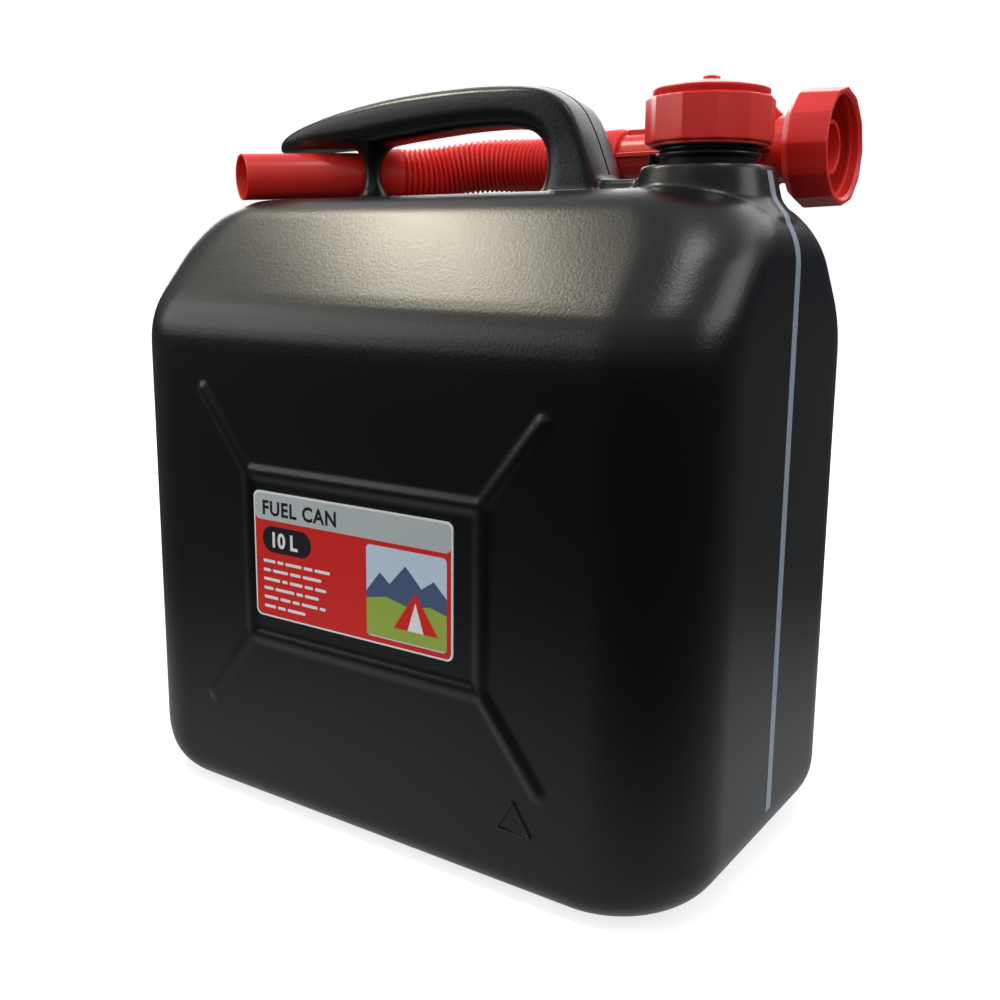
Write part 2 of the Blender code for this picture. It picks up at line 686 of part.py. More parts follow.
def build_cap(material, liner_material):
    """The cap, drawn from its ceiling down the bore, round the rim and up the outside."""
    frame = Matrix.Translation((NECK_X, 0, 0))
    count = CAP_FLUTES * CAP_FLUTE_STEPS
    bore = female_radius()
    seat = NECK_TOP + LINER_THICKNESS + 2 * FIT_GAP
    roof = CAP_SKIRT_TOP + CAP_DISC_HEIGHT - CAP_ROOF
    disc_top = CAP_SKIRT_TOP + CAP_DISC_HEIGHT
    dome_top = disc_top + CAP_DOME_RISE
    well = bore - CAP_LEDGE_HEIGHT * 2
    rings = [
        circle(well / 2, roof, count),
        circle(well, roof, count),
        circle(well, seat, count),
        circle(bore, seat, count),
        circle(bore, CAP_BOTTOM, count),
        circle(CAP_RADIUS - CAP_FLUTE_DEPTH - CAP_RIM_INSET, CAP_BOTTOM, count),
        circle(CAP_RADIUS - CAP_FLUTE_DEPTH - CAP_RIM_INSET, CAP_BOTTOM + CAP_RIM_HEIGHT, count),
        fluted_ring(CAP_RADIUS - CAP_EDGE, CAP_FLUTE_DEPTH, CAP_BOTTOM + CAP_RIM_HEIGHT),
        fluted_ring(CAP_RADIUS, CAP_FLUTE_DEPTH, CAP_BOTTOM + CAP_RIM_HEIGHT + CAP_EDGE),
        fluted_ring(CAP_RADIUS, CAP_FLUTE_DEPTH, CAP_SKIRT_TOP - CAP_EDGE),
        fluted_ring(CAP_RADIUS - CAP_EDGE, CAP_FLUTE_DEPTH, CAP_SKIRT_TOP),
        circle(CAP_DISC_RADIUS, CAP_SKIRT_TOP, count),
        circle(CAP_DISC_RADIUS, disc_top - CAP_EDGE, count),
        circle(CAP_DISC_RADIUS - CAP_EDGE, disc_top, count),
        circle(CAP_DISC_RADIUS / 2, disc_top + CAP_DOME_RISE * 3 / 4, count),
        circle(CAP_NUB_RADIUS, dome_top, count),
        circle(CAP_NUB_RADIUS, dome_top + CAP_NUB_HEIGHT - CAP_EDGE, count),
        circle(CAP_NUB_RADIUS - CAP_EDGE, dome_top + CAP_NUB_HEIGHT, count),
    ]
    cap = add_object("filler_cap", loft(rings), material, frame)
    turns = THREAD_TURNS - FEMALE_THREAD_SHORTFALL
    start = BLOCK_TOP + THREAD_START + THREAD_PITCH / 2
    ridge = loft(thread_rings(bore, -1, start, turns))
    combine(cap, add_tool("cap_thread_tool", ridge, material, frame), "UNION")
    lower = NECK_TOP + FIT_GAP
    upper = lower + LINER_THICKNESS
    outer = bore - FIT_GAP
    liner = [
        circle(LINER_HOLE_RADIUS, lower, NECK_STEPS),
        circle(outer, lower, NECK_STEPS),
        circle(outer, upper, NECK_STEPS),
        circle(LINER_HOLE_RADIUS, upper, NECK_STEPS),
    ]
    add_object("cap_gasket", loft(liner, loop=True), liner_material, frame)


def axis_frame(origin, direction):
    """A frame at origin whose Z runs along direction and whose Y points upwards."""
    z_axis = direction.normalized()
    x_axis = Vector((0, 0, 1)).cross(z_axis).normalized()
    y_axis = z_axis.cross(x_axis)
    rotation = Matrix((x_axis, y_axis, z_axis)).transposed().to_4x4()
    return Matrix.Translation(origin) @ rotation


def spout_axis():
    """The centre of the nut's mouth and the way that it faces."""
    return Vector((SPOUT_MOUTH_X, SPOUT_AXIS_Y, SPOUT_AXIS_HEIGHT)), Vector((1, 0, 0))


def tip_axis():
    """The point where the tip's axis crosses the centre plane, and its direction towards the hose."""
    level = math.cos(TIP_RISE)
    direction = Vector((math.cos(TIP_TURN) * level, math.sin(TIP_TURN) * level, math.sin(TIP_RISE)))
    return Vector((TIP_CROSSING_X, 0, TIP_CROSSING_HEIGHT)), direction


def hose_lengths():
    """Lengths of the hose's straight run at the base, its bend and its straight run at the tip."""
    corner = SPOUT_AXIS_Y / math.sin(TIP_TURN)
    tangent = BEND_RADIUS * math.tan(TIP_TURN / 2)
    corner_x = TIP_CROSSING_X + corner * math.cos(TIP_TURN)
    lead = SPOUT_MOUTH_X - BASE_REACH + CUFF_BORE_DEPTH - corner_x - tangent
    return lead, BEND_RADIUS * TIP_TURN, corner - tangent - TIP_SOCKET_REACH


def hose_sag(share):
    """How far the hose hangs beside the handle's leg, and rises beside the pillar."""
    position = (share - HOSE_SAG_START_SHARE) / (HOSE_SAG_END_SHARE - HOSE_SAG_START_SHARE)
    if not 0 < position < 1:
        return 0
    return -HOSE_SAG * math.sin(2 * math.pi * position) * math.sin(math.pi * position)


def hose_point(share):
    """A point on the hose's centre line; share runs from 0 at the base to 1 at the tip."""
    return hose_line(share) + Vector((0, 0, hose_sag(share)))


def hose_line(share):
    """The same without its sag."""
    lead, bend, tail = hose_lengths()
    travel = share * (lead + bend + tail)
    start_x = SPOUT_MOUTH_X - BASE_REACH + CUFF_BORE_DEPTH
    if travel <= lead:
        return Vector((start_x - travel, SPOUT_AXIS_Y, SPOUT_AXIS_HEIGHT))
    if travel >= lead + bend:
        crossing, inward = tip_axis()
        return crossing + inward * (TIP_SOCKET_REACH + (lead + bend + tail - travel))
    turn = (travel - lead) / BEND_RADIUS
    x = start_x - lead - BEND_RADIUS * math.sin(turn)
    y = SPOUT_AXIS_Y - BEND_RADIUS * (1 - math.cos(turn))
    t = (travel - lead) / bend
    end_height = TIP_CROSSING_HEIGHT + math.sin(TIP_RISE) * (TIP_SOCKET_REACH + tail)
    fall = SPOUT_AXIS_HEIGHT - end_height
    slope = math.sin(TIP_RISE) * bend
    height = SPOUT_AXIS_HEIGHT - fall * (3 * t**2 - 2 * t**3) - slope * (t**3 - t**2)
    return Vector((x, y, height))


def hose_frame(share):
    step = 1 / (HOSE_RIBS * HOSE_STEPS)
    ahead = hose_point(min(1, share + step))
    behind = hose_point(max(0, share - step))
    return axis_frame(hose_point(share), ahead - behind)


def hose_ring(share, radius):
    frame = hose_frame(share)
    return [frame @ point for point in circle(radius, 0, HOSE_STEPS)]


def hose_rings():
    """The ribbed outside from the base to the tip, then the plain bore back again."""
    total = sum(hose_lengths())
    cuff = CUFF_LENGTH / total
    socket = CUFF_BORE_DEPTH / total
    rings = [hose_ring(0, HOSE_RADIUS), hose_ring(cuff, HOSE_RADIUS)]
    ribbed = (1 - 2 * cuff) / (HOSE_RIBS + 0.5)
    for i in range(HOSE_RIBS):
        rings.append(hose_ring(cuff + ribbed * (i + 0.5), HOSE_ROOT_RADIUS))
        rings.append(hose_ring(cuff + ribbed * (i + 1), HOSE_RADIUS))
    rings[-1] = hose_ring(1 - cuff, HOSE_RADIUS)
    rings.append(hose_ring(1, HOSE_RADIUS))
    facet = math.cos(math.pi / HOSE_STEPS)
    tip_bore = (TIP_RADIUS + FIT_GAP) / facet
    base_bore = (BASE_TUBE_RADIUS + FIT_GAP) / facet
    rings.append(hose_ring(1, tip_bore))
    rings.append(hose_ring(1 - socket, tip_bore))
    for i in range(HOSE_BORE_STEPS + 1):
        share = 1 - socket - (1 - 2 * socket) * i / HOSE_BORE_STEPS
        rings.append(hose_ring(share, HOSE_BORE_RADIUS))
    rings.append(hose_ring(socket, base_bore))
    rings.append(hose_ring(0, base_bore))
    return rings


def flex_point():
    """The middle of the hose's bend, which the tip swings about."""
    lead, bend, tail = hose_lengths()
    return hose_point((lead + bend / 2) / (lead + bend + tail))


def fin_rings(angle):
    """A long thin fin on the base tube that swells into a gusset near the nut, in the spout's frame."""
    root = BASE_TUBE_RADIUS - BASE_WALL / 2
    end = -NUT_LENGTH - FIT_GAP
    fall_start = end - GUSSET_GAP - GUSSET_FALL_LENGTH
    stations = (
        (CUFF_BORE_DEPTH + FIN_MARGIN - BASE_REACH, FIN_RADIUS),
        (fall_start - GUSSET_LENGTH - GUSSET_SLOPE_LENGTH, FIN_RADIUS),
        (fall_start - GUSSET_LENGTH, GUSSET_RADIUS),
        (fall_start, GUSSET_RADIUS),
        (end - GUSSET_GAP, GUSSET_FOOT_RADIUS),
    )
    spoke = Vector((math.cos(angle), math.sin(angle), 0))
    side = Vector((-math.sin(angle), math.cos(angle), 0)) * FIN_THICKNESS / 2
    rings = []
    for height, reach in stations:
        lift = Vector((0, 0, height))
        inner = spoke * root + lift
        outer = spoke * reach + lift
        rings.append([inner - side, outer - side, outer + side, inner + side])
    return rings


def build_spout_base(material, seal_material, frame):
    """The finned tube, its flange inside the nut, and the snout that enters the can's neck."""
    flange_back = NUT_BACK_WALL - NUT_LENGTH + FIT_GAP
    flange_front = flange_back + BASE_FLANGE_THICKNESS
    bore = BASE_TUBE_RADIUS - BASE_WALL
    hub_back = -NUT_LENGTH - FIT_GAP
    profile = (
        (bore, -BASE_REACH),
        (BASE_TUBE_RADIUS, -BASE_REACH),
        (BASE_TUBE_RADIUS, hub_back - BASE_HUB_LENGTH),
        (BASE_HUB_RADIUS, hub_back - BASE_HUB_LENGTH + BASE_HUB_SLOPE),
        (BASE_HUB_RADIUS, flange_back),
        (BASE_FLANGE_RADIUS, flange_back),
        (BASE_FLANGE_RADIUS, flange_front),
        (BASE_SNOUT_RADIUS, flange_front),
        (BASE_SNOUT_RADIUS, -BASE_SNOUT_DEPTH),
        (BASE_SNOUT_RADIUS - BASE_WALL, -BASE_SNOUT_DEPTH),
        (bore, flange_back),
    )
    rings = [circle(radius, height, ROUND_STEPS) for radius, height in profile]
    base = add_object("spout_base", loft(rings, loop=True), material, frame)
    for i in range(FIN_COUNT):
        fin = loft(fin_rings(2 * math.pi * i / FIN_COUNT))
        combine(base, add_tool(f"spout_fin_tool_{i}", fin, material, frame), "UNION")
    lower = flange_front + FIT_GAP
    upper = lower + SEAL_THICKNESS
    seal = [
        circle(SEAL_INNER_RADIUS, lower, ROUND_STEPS),
        circle(BASE_FLANGE_RADIUS, lower, ROUND_STEPS),
        circle(BASE_FLANGE_RADIUS, upper, ROUND_STEPS),
        circle(SEAL_INNER_RADIUS, upper, ROUND_STEPS),
    ]
    add_object("spout_gasket", loft(seal, loop=True), seal_material, frame)


def facet_ring(radius, height):
    """A ring on the nut's twelve flat sides, with enough points to meet the round bore."""
    per_side = ROUND_STEPS * 3 // (2 * NUT_SIDES)
    ring = []
    for side in range(NUT_SIDES):
        start = 2 * math.pi * side / NUT_SIDES
        end = 2 * math.pi * (side + 1) / NUT_SIDES
        first = Vector((math.cos(start), math.sin(start), 0)) * radius
        last = Vector((math.cos(end), math.sin(end), 0)) * radius
        for i in range(per_side):
            ring.append(first.lerp(last, i / per_side) + Vector((0, 0, height)))
    return ring


def build_nut(material, frame):
    count = len(facet_ring(NUT_RADIUS, 0))
    bore = female_radius()
    hole = BASE_HUB_RADIUS + FIT_GAP
    rings = [
        circle(hole, -NUT_LENGTH, count),
        facet_ring(NUT_RADIUS - NUT_CHAMFER, -NUT_LENGTH),
        facet_ring(NUT_RADIUS, NUT_CHAMFER - NUT_LENGTH),
        facet_ring(NUT_MOUTH_RADIUS, 0),
        circle(bore + NUT_MOUTH_STEP, 0, count),
        circle(bore, -NUT_MOUTH_STEP, count),
        circle(bore, NUT_BACK_WALL - NUT_LENGTH, count),
        circle(hole, NUT_BACK_WALL - NUT_LENGTH, count),
    ]
    nut = add_object("spout_nut", loft(rings, loop=True), material, frame)
    turns = THREAD_TURNS - FEMALE_THREAD_SHORTFALL
    start = -NUT_THREAD_INSET - THREAD_PITCH * turns
    ridge = loft(thread_rings(bore, -1, start, turns))
    combine(nut, add_tool("nut_thread_tool", ridge, material, frame), "UNION")


def build_tip(material):
    """The nozzle, with its end cut at a slant and its root in the hose's cuff."""
    pivot = flex_point()
    crossing, inward = tip_axis()
    frame = axis_frame(crossing, inward)
    inner = TIP_RADIUS - TIP_WALL
    root = TIP_SOCKET_REACH + CUFF_BORE_DEPTH - FIT_GAP
    rings = []
    for radius, height, slant in (
        (inner, root, 0),
        (TIP_RADIUS, root, 0),
        (TIP_RADIUS, -TIP_REACH, 1),
        (inner, -TIP_REACH, 1),
    ):
        ring = circle(radius, height, TIP_STEPS)
        for point in ring:
            point.z -= slant * point.x * math.tan(TIP_CUT)
        rings.append([frame @ point - pivot for point in ring])
    add_object("spout_tip", loft(rings, loop=True), material, Matrix.Translation(pivot))


def build_hose(material):
    pivot = flex_point()
    rings = [[point - pivot for point in ring] for ring in hose_rings()]
    add_object("spout_hose", loft(rings, loop=True), material, Matrix.Translation(pivot))


def build_stripe(material):
    bm = loft(stripe_rings(STRIPE_WIDTH / 2, 0, STRIPE_THICKNESS, 0))
    add_object("level_stripe", bm, material)


def build():
    clear_scene()
    build_can(make_material("black_polyethylene", BLACK, SATIN))
    build_stripe(make_material("translucent_stripe", STRIPE_GREY, SATIN))
    build_label(make_material("printed_label", LABEL_RED, GLOSSY))
    cap_red = make_material("red_cap", RED, GLOSSY)
    build_cap(cap_red, make_material("cap_seal_rubber", DARK_GREY, MATT))
    origin, forward = spout_axis()
    frame = axis_frame(origin, forward)
    base_red = make_material("red_base", RED, GLOSSY)
    build_spout_base(base_red, make_material("spout_seal_rubber", DARK_GREY, MATT), frame)
    build_nut(make_material("red_nut", RED, GLOSSY), frame)
    build_hose(make_material("red_hose", RED, GLOSSY))
    build_tip(make_material("red_tip", RED, GLOSSY))


build()
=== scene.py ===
"""The fuel can's looks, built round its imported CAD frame."""

import math

import bmesh
import bpy
from mathutils import Matrix, Vector
from mathutils.bvhtree import BVHTree


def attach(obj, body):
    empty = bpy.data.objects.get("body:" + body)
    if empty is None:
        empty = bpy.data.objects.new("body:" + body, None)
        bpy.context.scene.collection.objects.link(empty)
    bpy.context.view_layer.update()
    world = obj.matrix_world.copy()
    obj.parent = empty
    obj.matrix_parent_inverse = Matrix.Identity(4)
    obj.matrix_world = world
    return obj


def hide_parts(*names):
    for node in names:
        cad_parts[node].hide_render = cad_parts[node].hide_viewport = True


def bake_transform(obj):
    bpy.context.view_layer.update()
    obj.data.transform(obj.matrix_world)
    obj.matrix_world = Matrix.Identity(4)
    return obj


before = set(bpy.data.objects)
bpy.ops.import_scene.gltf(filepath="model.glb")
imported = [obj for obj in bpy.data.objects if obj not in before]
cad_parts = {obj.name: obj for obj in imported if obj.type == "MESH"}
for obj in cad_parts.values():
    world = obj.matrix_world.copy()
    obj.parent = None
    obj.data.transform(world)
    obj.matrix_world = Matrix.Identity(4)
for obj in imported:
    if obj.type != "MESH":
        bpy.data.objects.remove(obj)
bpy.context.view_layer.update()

MM = 0.001

# Can body, as in the CAD. All lengths are in metres
BODY_WIDTH = 0.290
BODY_DEPTH = 0.170
EAVE_HEIGHT = 0.2165
PLATEAU_HEIGHT = 0.2685
PLATEAU_DEPTH = 0.0826
CORNER_RADIUS = 0.038
CORNER_DEPTH_SHARE = 0.94
BASE_END_RADIUS = 0.023
BASE_FRONT_RADIUS = 0.0127
TOP_END_RADIUS = 0.028
EAVE_RADIUS = 0.034
BROW_RADIUS = 0.026
BODY_CORNER_STEPS = 18
BODY_RINGS = 70

# Skin of the can: all its mouldings merged and softened
SKIN_VOXEL = 0.0012
SKIN_SMOOTH_ROUNDS = 5
SKIN_SMOOTH_FACTOR = 0.5
SMOOTH_ALL = 180.0

# Ribs on the front and the back
RIB_CENTRE_HEIGHT = 0.116
RIB_FRAME_WIDTH = 0.122
RIB_FRAME_HEIGHT = 0.0726
RIB_END_WIDTH = 0.1744
RIB_END_HEIGHT = 0.1392
RIB_BREADTH = 0.0078
RIB_RISE = 0.00125
RIB_ROUNDNESS = 1.5
RIB_FACE_MARGIN = 0.0015

# Plain triangle moulded low on the front
TRIANGLE_POINTS = ((0.0764, 0.0405), (0.0845, 0.0283), (0.0690, 0.0281))
TRIANGLE_LINE = 0.0007
TRIANGLE_SIDE_STEPS = 6

# Neck block, neck and bridge
NECK_X = 0.107
BLOCK_SIZE = 0.049
BLOCK_CORNER = 0.0205
BLOCK_TOP = 0.2775
BLOCK_DRAFT = 0.0028
BLOCK_FLARE = 0.006
BLOCK_EDGE = 0.0008
BLOCK_ROOT_DEPTH = 0.020
BLOCK_FOOT_DEPTH = 0.0125
BLOCK_CORNER_STEPS = 14
BRIDGE_X = 0.072
BRIDGE_LENGTH = 0.030
BRIDGE_WIDTH = 0.020
BRIDGE_RISE = 0.005
BRIDGE_CORNER = 0.006
BRIDGE_CORNER_STEPS = 8
BRIDGE_ROOT = 0.002
LUG_X = 0.0836
LUG_LENGTH = 0.003
LUG_WIDTH = 0.007
LUG_RISE = 0.0055
LUG_CORNER = 0.001
LUG_CORNER_STEPS = 5
LUG_ROOT_DEPTH = 0.001
NECK_TOP = 0.2992
NECK_RADIUS = 0.0186
NECK_BORE_RADIUS = 0.0166
NECK_ROOT_DEPTH = 0.003
NECK_EDGE = 0.0006
BEAD_RADIUS = 0.0201
BEAD_HEIGHT = 0.003
BEAD_LIFT = 0.0025
THREAD_PITCH = 0.005
THREAD_TURNS = 1.5
THREAD_DEPTH = 0.0013
THREAD_ROOT_BREADTH = 0.0024
THREAD_CREST_BREADTH = 0.0011
THREAD_START = 0.0100
THREAD_STEPS_PER_TURN = 60
THREAD_FADE_SHARE = 0.1
THREAD_END_SINK = 0.0002
THREAD_ROOT_SINK = 0.0006
NECK_STEPS = 72

# Handle. A station is its outer edge's place, its inner edge's place and its breadth, as shares of the
# span, the rise and the width. The leg's edge is tighter than in the CAD, as softening rounds it
HANDLE_NOSE_X = -0.11658
HANDLE_SPAN = 0.184585
HANDLE_RISE = 0.0465
HANDLE_WIDTH = 0.026
GRIP_ROUND_SHARE = 0.40
LEG_ROUND_SHARE = 0.12
HANDLE_INNER_ROUND_SHARE = 0.80
GRIP_CROWN_SHARE = 0.32
LEG_CROWN_SHARE = 0.10
LEG_START_SHARE = 0.72
LEG_END_SHARE = 0.90
HANDLE_CROWN_STEPS = 12
HANDLE_SIDE_STEPS = 8
HANDLE_FINE_STEPS = 5
HANDLE_STATION_SHARES = (
    (0.000, 0.535, 0.004, 0.503, 0.42),
    (0.010, 0.600, 0.024, 0.503, 0.62),
    (0.040, 0.677, 0.054, 0.505, 0.80),
    (0.084, 0.740, 0.090, 0.510, 0.92),
    (0.139, 0.800, 0.139, 0.514, 1.00),
    (0.214, 0.871, 0.214, 0.514, 1.00),
    (0.307, 0.931, 0.307, 0.518, 1.00),
    (0.392, 0.968, 0.397, 0.553, 1.00),
    (0.488, 0.991, 0.493, 0.583, 1.00),
    (0.588, 1.000, 0.588, 0.609, 1.00),
    (0.691, 0.996, 0.691, 0.617, 1.00),
    (0.778, 0.966, 0.759, 0.596, 1.00),
    (0.846, 0.901, 0.805, 0.540, 1.00),
    (0.900, 0.772, 0.831, 0.437, 1.00),
    (0.935, 0.570, 0.840, 0.299, 1.00),
    (0.961, 0.335, 0.834, 0.140, 1.03),
    (0.982, 0.120, 0.816, -0.002, 1.08),
    (1.000, -0.095, 0.794, -0.129, 1.12),
)
PARTING_LINE_RADIUS = 0.0010
PARTING_LINE_PROUD = 0.00018
PARTING_LINE_STEPS = 24
PARTING_LINE_RAY = 0.01
PILLAR_X = -0.062
PILLAR_WAIST_RADIUS = 0.0040
PILLAR_WAIST_HEIGHT = 0.0125
PILLAR_FLARE_RADIUS = 0.0105
PILLAR_TOP_RADIUS = 0.0085
PILLAR_REACH_SHARE = 1.25
PILLAR_FLARE_POWER = 3
PILLAR_STEPS = 28
PILLAR_RINGS = 20

# Level stripe
STRIPE_WIDTH = 0.005
STRIPE_DEPTH = 0.0008
STRIPE_PROUD = 0.00012
STRIPE_BOTTOM = 0.022
STRIPE_TOP_MARGIN = 0.0022
STRIPE_STEPS = 180
STRIPE_SLOPE_STEPS = 2
STRIPE_SHARP_ANGLE = 60.0
STRIPE_RAY_X = 0.3

# Label
LABEL_WIDTH = 0.106
LABEL_HEIGHT = 0.055
LABEL_CORNER = 0.003
LABEL_OFFSET_X = -0.0044
LABEL_OFFSET_Z = 0.0014
LABEL_FACE = 0.00068
LABEL_BACK = 0.0001
LABEL_CORNER_STEPS = 8
PRINT_LAYER = 0.00003
PRINT_THICKNESS_SHARE = 0.8

# Print on the label, in millimetres from its middle: an area's left, bottom, right, top and corner
LABEL_FIELD = (-52.2, -26.7, 52.2, 26.7, 2.6)
LABEL_BAND = (-52.2, 15.2, 52.2, 26.7, 2.6)
LABEL_BADGE = (-48.0, 1.4, -20.0, 12.8, 5.6)
LABEL_BADGE_STEPS = 12
LABEL_TITLE_PLACE = (-48.0, 17.6)
LABEL_TITLE_SIZE = 8.6
LABEL_TITLE_SPREAD = 1.1
LABEL_TITLE_BOLD = 0.25
LABEL_NUMBER_PLACE = (-43.8, 3.9)
LABEL_NUMBER_SIZE = 9.0
LABEL_NUMBER_BOLD = 0.28
LABEL_SKY = (10.0, -24.6, 50.2, 13.2, 2.0)
LABEL_HILLS = (
    (10.0, -6.0), (17.0, 2.5), (22.0, -1.5), (30.0, 7.0), (38.0, -1.0), (44.0, 3.0), (50.2, -3.0)
)
LABEL_HILLS_BOTTOM = -14.0
LABEL_MEADOW = ((10.0, -9.0), (20.0, -7.0), (32.0, -9.5), (42.0, -7.5), (50.2, -9.5))
LABEL_MEADOW_BOTTOM = -24.0
LABEL_TENT = ((35.0, -3.0), (24.0, -19.0), (46.0, -19.0))
LABEL_TENT_DOOR = ((35.0, -7.0), (31.0, -19.0), (39.0, -19.0))

# Small print on the label: plain bars in place of words, in millimetres
LABEL_WORD_ROWS = (
    (7.0, 3.4, 9.2, 5.0, 8.4),
    (4.2, 8.8, 6.0, 10.4),
    (9.6, 3.0, 7.4, 4.6, 6.2),
    (5.4, 11.0, 3.6, 7.8),
    (8.2, 5.8, 4.0, 9.0, 3.2),
    (6.6, 4.4, 10.2),
)
LABEL_TEXT_LEFT = -48.0
LABEL_TEXT_TOP = -3.4
LABEL_ROW_STEP = 4.0
LABEL_WORD_HEIGHT = 1.3
LABEL_WORD_GAP = 1.3
LABEL_WORD_CORNER = 0.4

# Filler cap
CAP_RADIUS = 0.0246
CAP_FLUTES = 12
CAP_FLUTE_DEPTH = 0.0011
CAP_FLUTE_STEPS = 10
CAP_BOTTOM = 0.2846
CAP_SKIRT_TOP = 0.3024
CAP_RIM_HEIGHT = 0.0012
CAP_RIM_INSET = 0.0012
CAP_DISC_RADIUS = 0.0226
CAP_DISC_HEIGHT = 0.0046
CAP_DOME_RISE = 0.0016
CAP_NUB_RADIUS = 0.0034
CAP_NUB_HEIGHT = 0.0024
CAP_BORE_RADIUS = 0.0203
CAP_CEILING_DROP = 0.001
CAP_CEILING_CENTRE = 0.004
CAP_BOTTOM_EDGE = 0.0003
CAP_STEP_RADIUS = 0.0228
CAP_STEP_RISE = 0.0004
CAP_SKIRT_EDGE = 0.0009
CAP_DISC_FOOT_INSET = 0.0010
CAP_DISC_WAIST_INSET = 0.0004
CAP_DISC_WAIST_RISE = 0.0016
CAP_DISC_EDGE_DROP = 0.0014
CAP_DOME_MID_SHARE = 0.55
CAP_DOME_MID_RISE_SHARE = 0.75
CAP_NUB_CENTRE = 0.0004
CAP_CROWN_EDGE = 0.0008
CAP_EDGE_STEPS = 5
CAP_SHARP_ANGLE = 28.0

# Spout
SPOUT_MOUTH_X = 0.1411
SPOUT_AXIS_Y = 0.058
SPOUT_AXIS_HEIGHT = 0.2885
NUT_RADIUS = 0.0243
NUT_MOUTH_RADIUS = 0.0237
NUT_SIDES = 12
NUT_SIDE_STEPS = 8
NUT_LENGTH = 0.0196
NUT_BACK_WALL = 0.0026
NUT_CHAMFER = 0.0035
NUT_CORNER_SHARE = 0.992
NUT_BORE_RADIUS = 0.0203
NUT_MOUTH_STEP = 0.0012
NUT_THREAD_INSET = 0.0035
NUT_HOLE_RADIUS = 0.0141
NUT_EDGE = 0.0006
NUT_SHARP_ANGLE = 12.0
NUT_THREAD_TURNS = 1.25
BASE_TUBE_RADIUS = 0.0100
BASE_WALL = 0.0018
BASE_REACH = 0.1111
BASE_SNOUT_DEPTH = 0.0054
BASE_SNOUT_RADIUS = 0.0110
BASE_FLANGE_RADIUS = 0.0195
BASE_FLANGE_THICKNESS = 0.0022
BASE_HUB_RADIUS = 0.0138
BASE_HUB_LENGTH = 0.0105
BASE_HUB_SLOPE = 0.0035
BASE_EDGE = 0.0004
BASE_EDGE_STEPS = 3
FIT_GAP = 0.0003
FIN_COUNT = 4
FIN_RADIUS = 0.0121
FIN_THICKNESS = 0.0022
FIN_MARGIN = 0.0010
FIN_EDGE = 0.0004
GUSSET_GAP = 0.0064
GUSSET_FALL_LENGTH = 0.0078
GUSSET_LENGTH = 0.004
GUSSET_SLOPE_LENGTH = 0.012
GUSSET_RADIUS = 0.0215
GUSSET_FOOT_RADIUS = 0.0134
HOSE_RADIUS = 0.0125
HOSE_ROOT_RADIUS = 0.0111
HOSE_BORE_RADIUS = 0.0094
HOSE_SAG = 0.0024
HOSE_SAG_START_SHARE = 0.085
HOSE_SAG_END_SHARE = 0.88
HOSE_RIBS = 39
HOSE_STEPS = 40
HOSE_RIB_SHARES = (0.0, 0.12, 0.3, 0.5, 0.7, 0.88)
HOSE_RIB_FULLNESS = 0.7
HOSE_BORE_RINGS = 24
HOSE_SLOPE_STEP = 0.002
HOSE_SHARP_ANGLE = 50.0
BEND_RADIUS = 0.075
CUFF_LENGTH = 0.012
CUFF_BORE_DEPTH = 0.010
CUFF_EDGE = 0.0006
CUFF_GAP = FIT_GAP / 3
TIP_RADIUS = 0.0107
TIP_WALL = 0.0013
TIP_EDGE = 0.0003
TIP_TURN = math.radians(48.0)
TIP_RISE = math.radians(2.0)
TIP_CROSSING_X = -0.085
TIP_CROSSING_HEIGHT = 0.2807
TIP_REACH = 0.0446
TIP_SOCKET_REACH = 0.0198
TIP_CUT = math.radians(13.5)
ROUND_STEPS = 64

# Camera, fitted to the photograph
CAMERA_PLACE = (0.2931, -0.4128, 0.2408)
CAMERA_AZIMUTH = math.radians(34.23)
CAMERA_PITCH = math.radians(10.56)
CAMERA_ROLL = math.radians(0.51)
CAMERA_LENS = 40.342
CAMERA_SENSOR = 36.0
CAMERA_SHIFT_X = -0.00187
CAMERA_SHIFT_Y = -0.02885
CAMERA_CLIP_START = 0.01
CAMERA_CLIP_END = 50

# The floor as the camera sees it: a faint glow that fades to white away from the can
FLOOR_HALF = 6.0
FLOOR_DROP = 0.0002
FLOOR_DARK = (0.30, 0.30, 0.30)
FLOOR_LIGHT = (0.33, 0.33, 0.33)
FLOOR_DRIFT_SCALE = 3.0
FLOOR_FADE_START = 0.22
FLOOR_FADE_END = 0.60
FLOOR_GLOW = 0.76

# The floor as reflections see it: bright near the can, dim far off and on the photo's side of it
FLOOR_TINT = (0.94, 0.98, 1.0)
FLOOR_NEAR = 0.12
FLOOR_FAR = 0.50
FLOOR_NEAR_GLOW = 0.48
FLOOR_FAR_GLOW = 0.10
FLOOR_SHADE_START = 0.10
FLOOR_SHADE_END = 0.40
FLOOR_SHADE = 0.12

# The room as reflections see it, from low to high up, and its light on matt surfaces
ROOM_TONES = ((0.10, (0.05, 0.055, 0.065)), (0.90, (0.50, 0.51, 0.50)))
SOFT_COLOUR = (0.96, 0.98, 1.0)
SOFT_LIGHT = 0.95

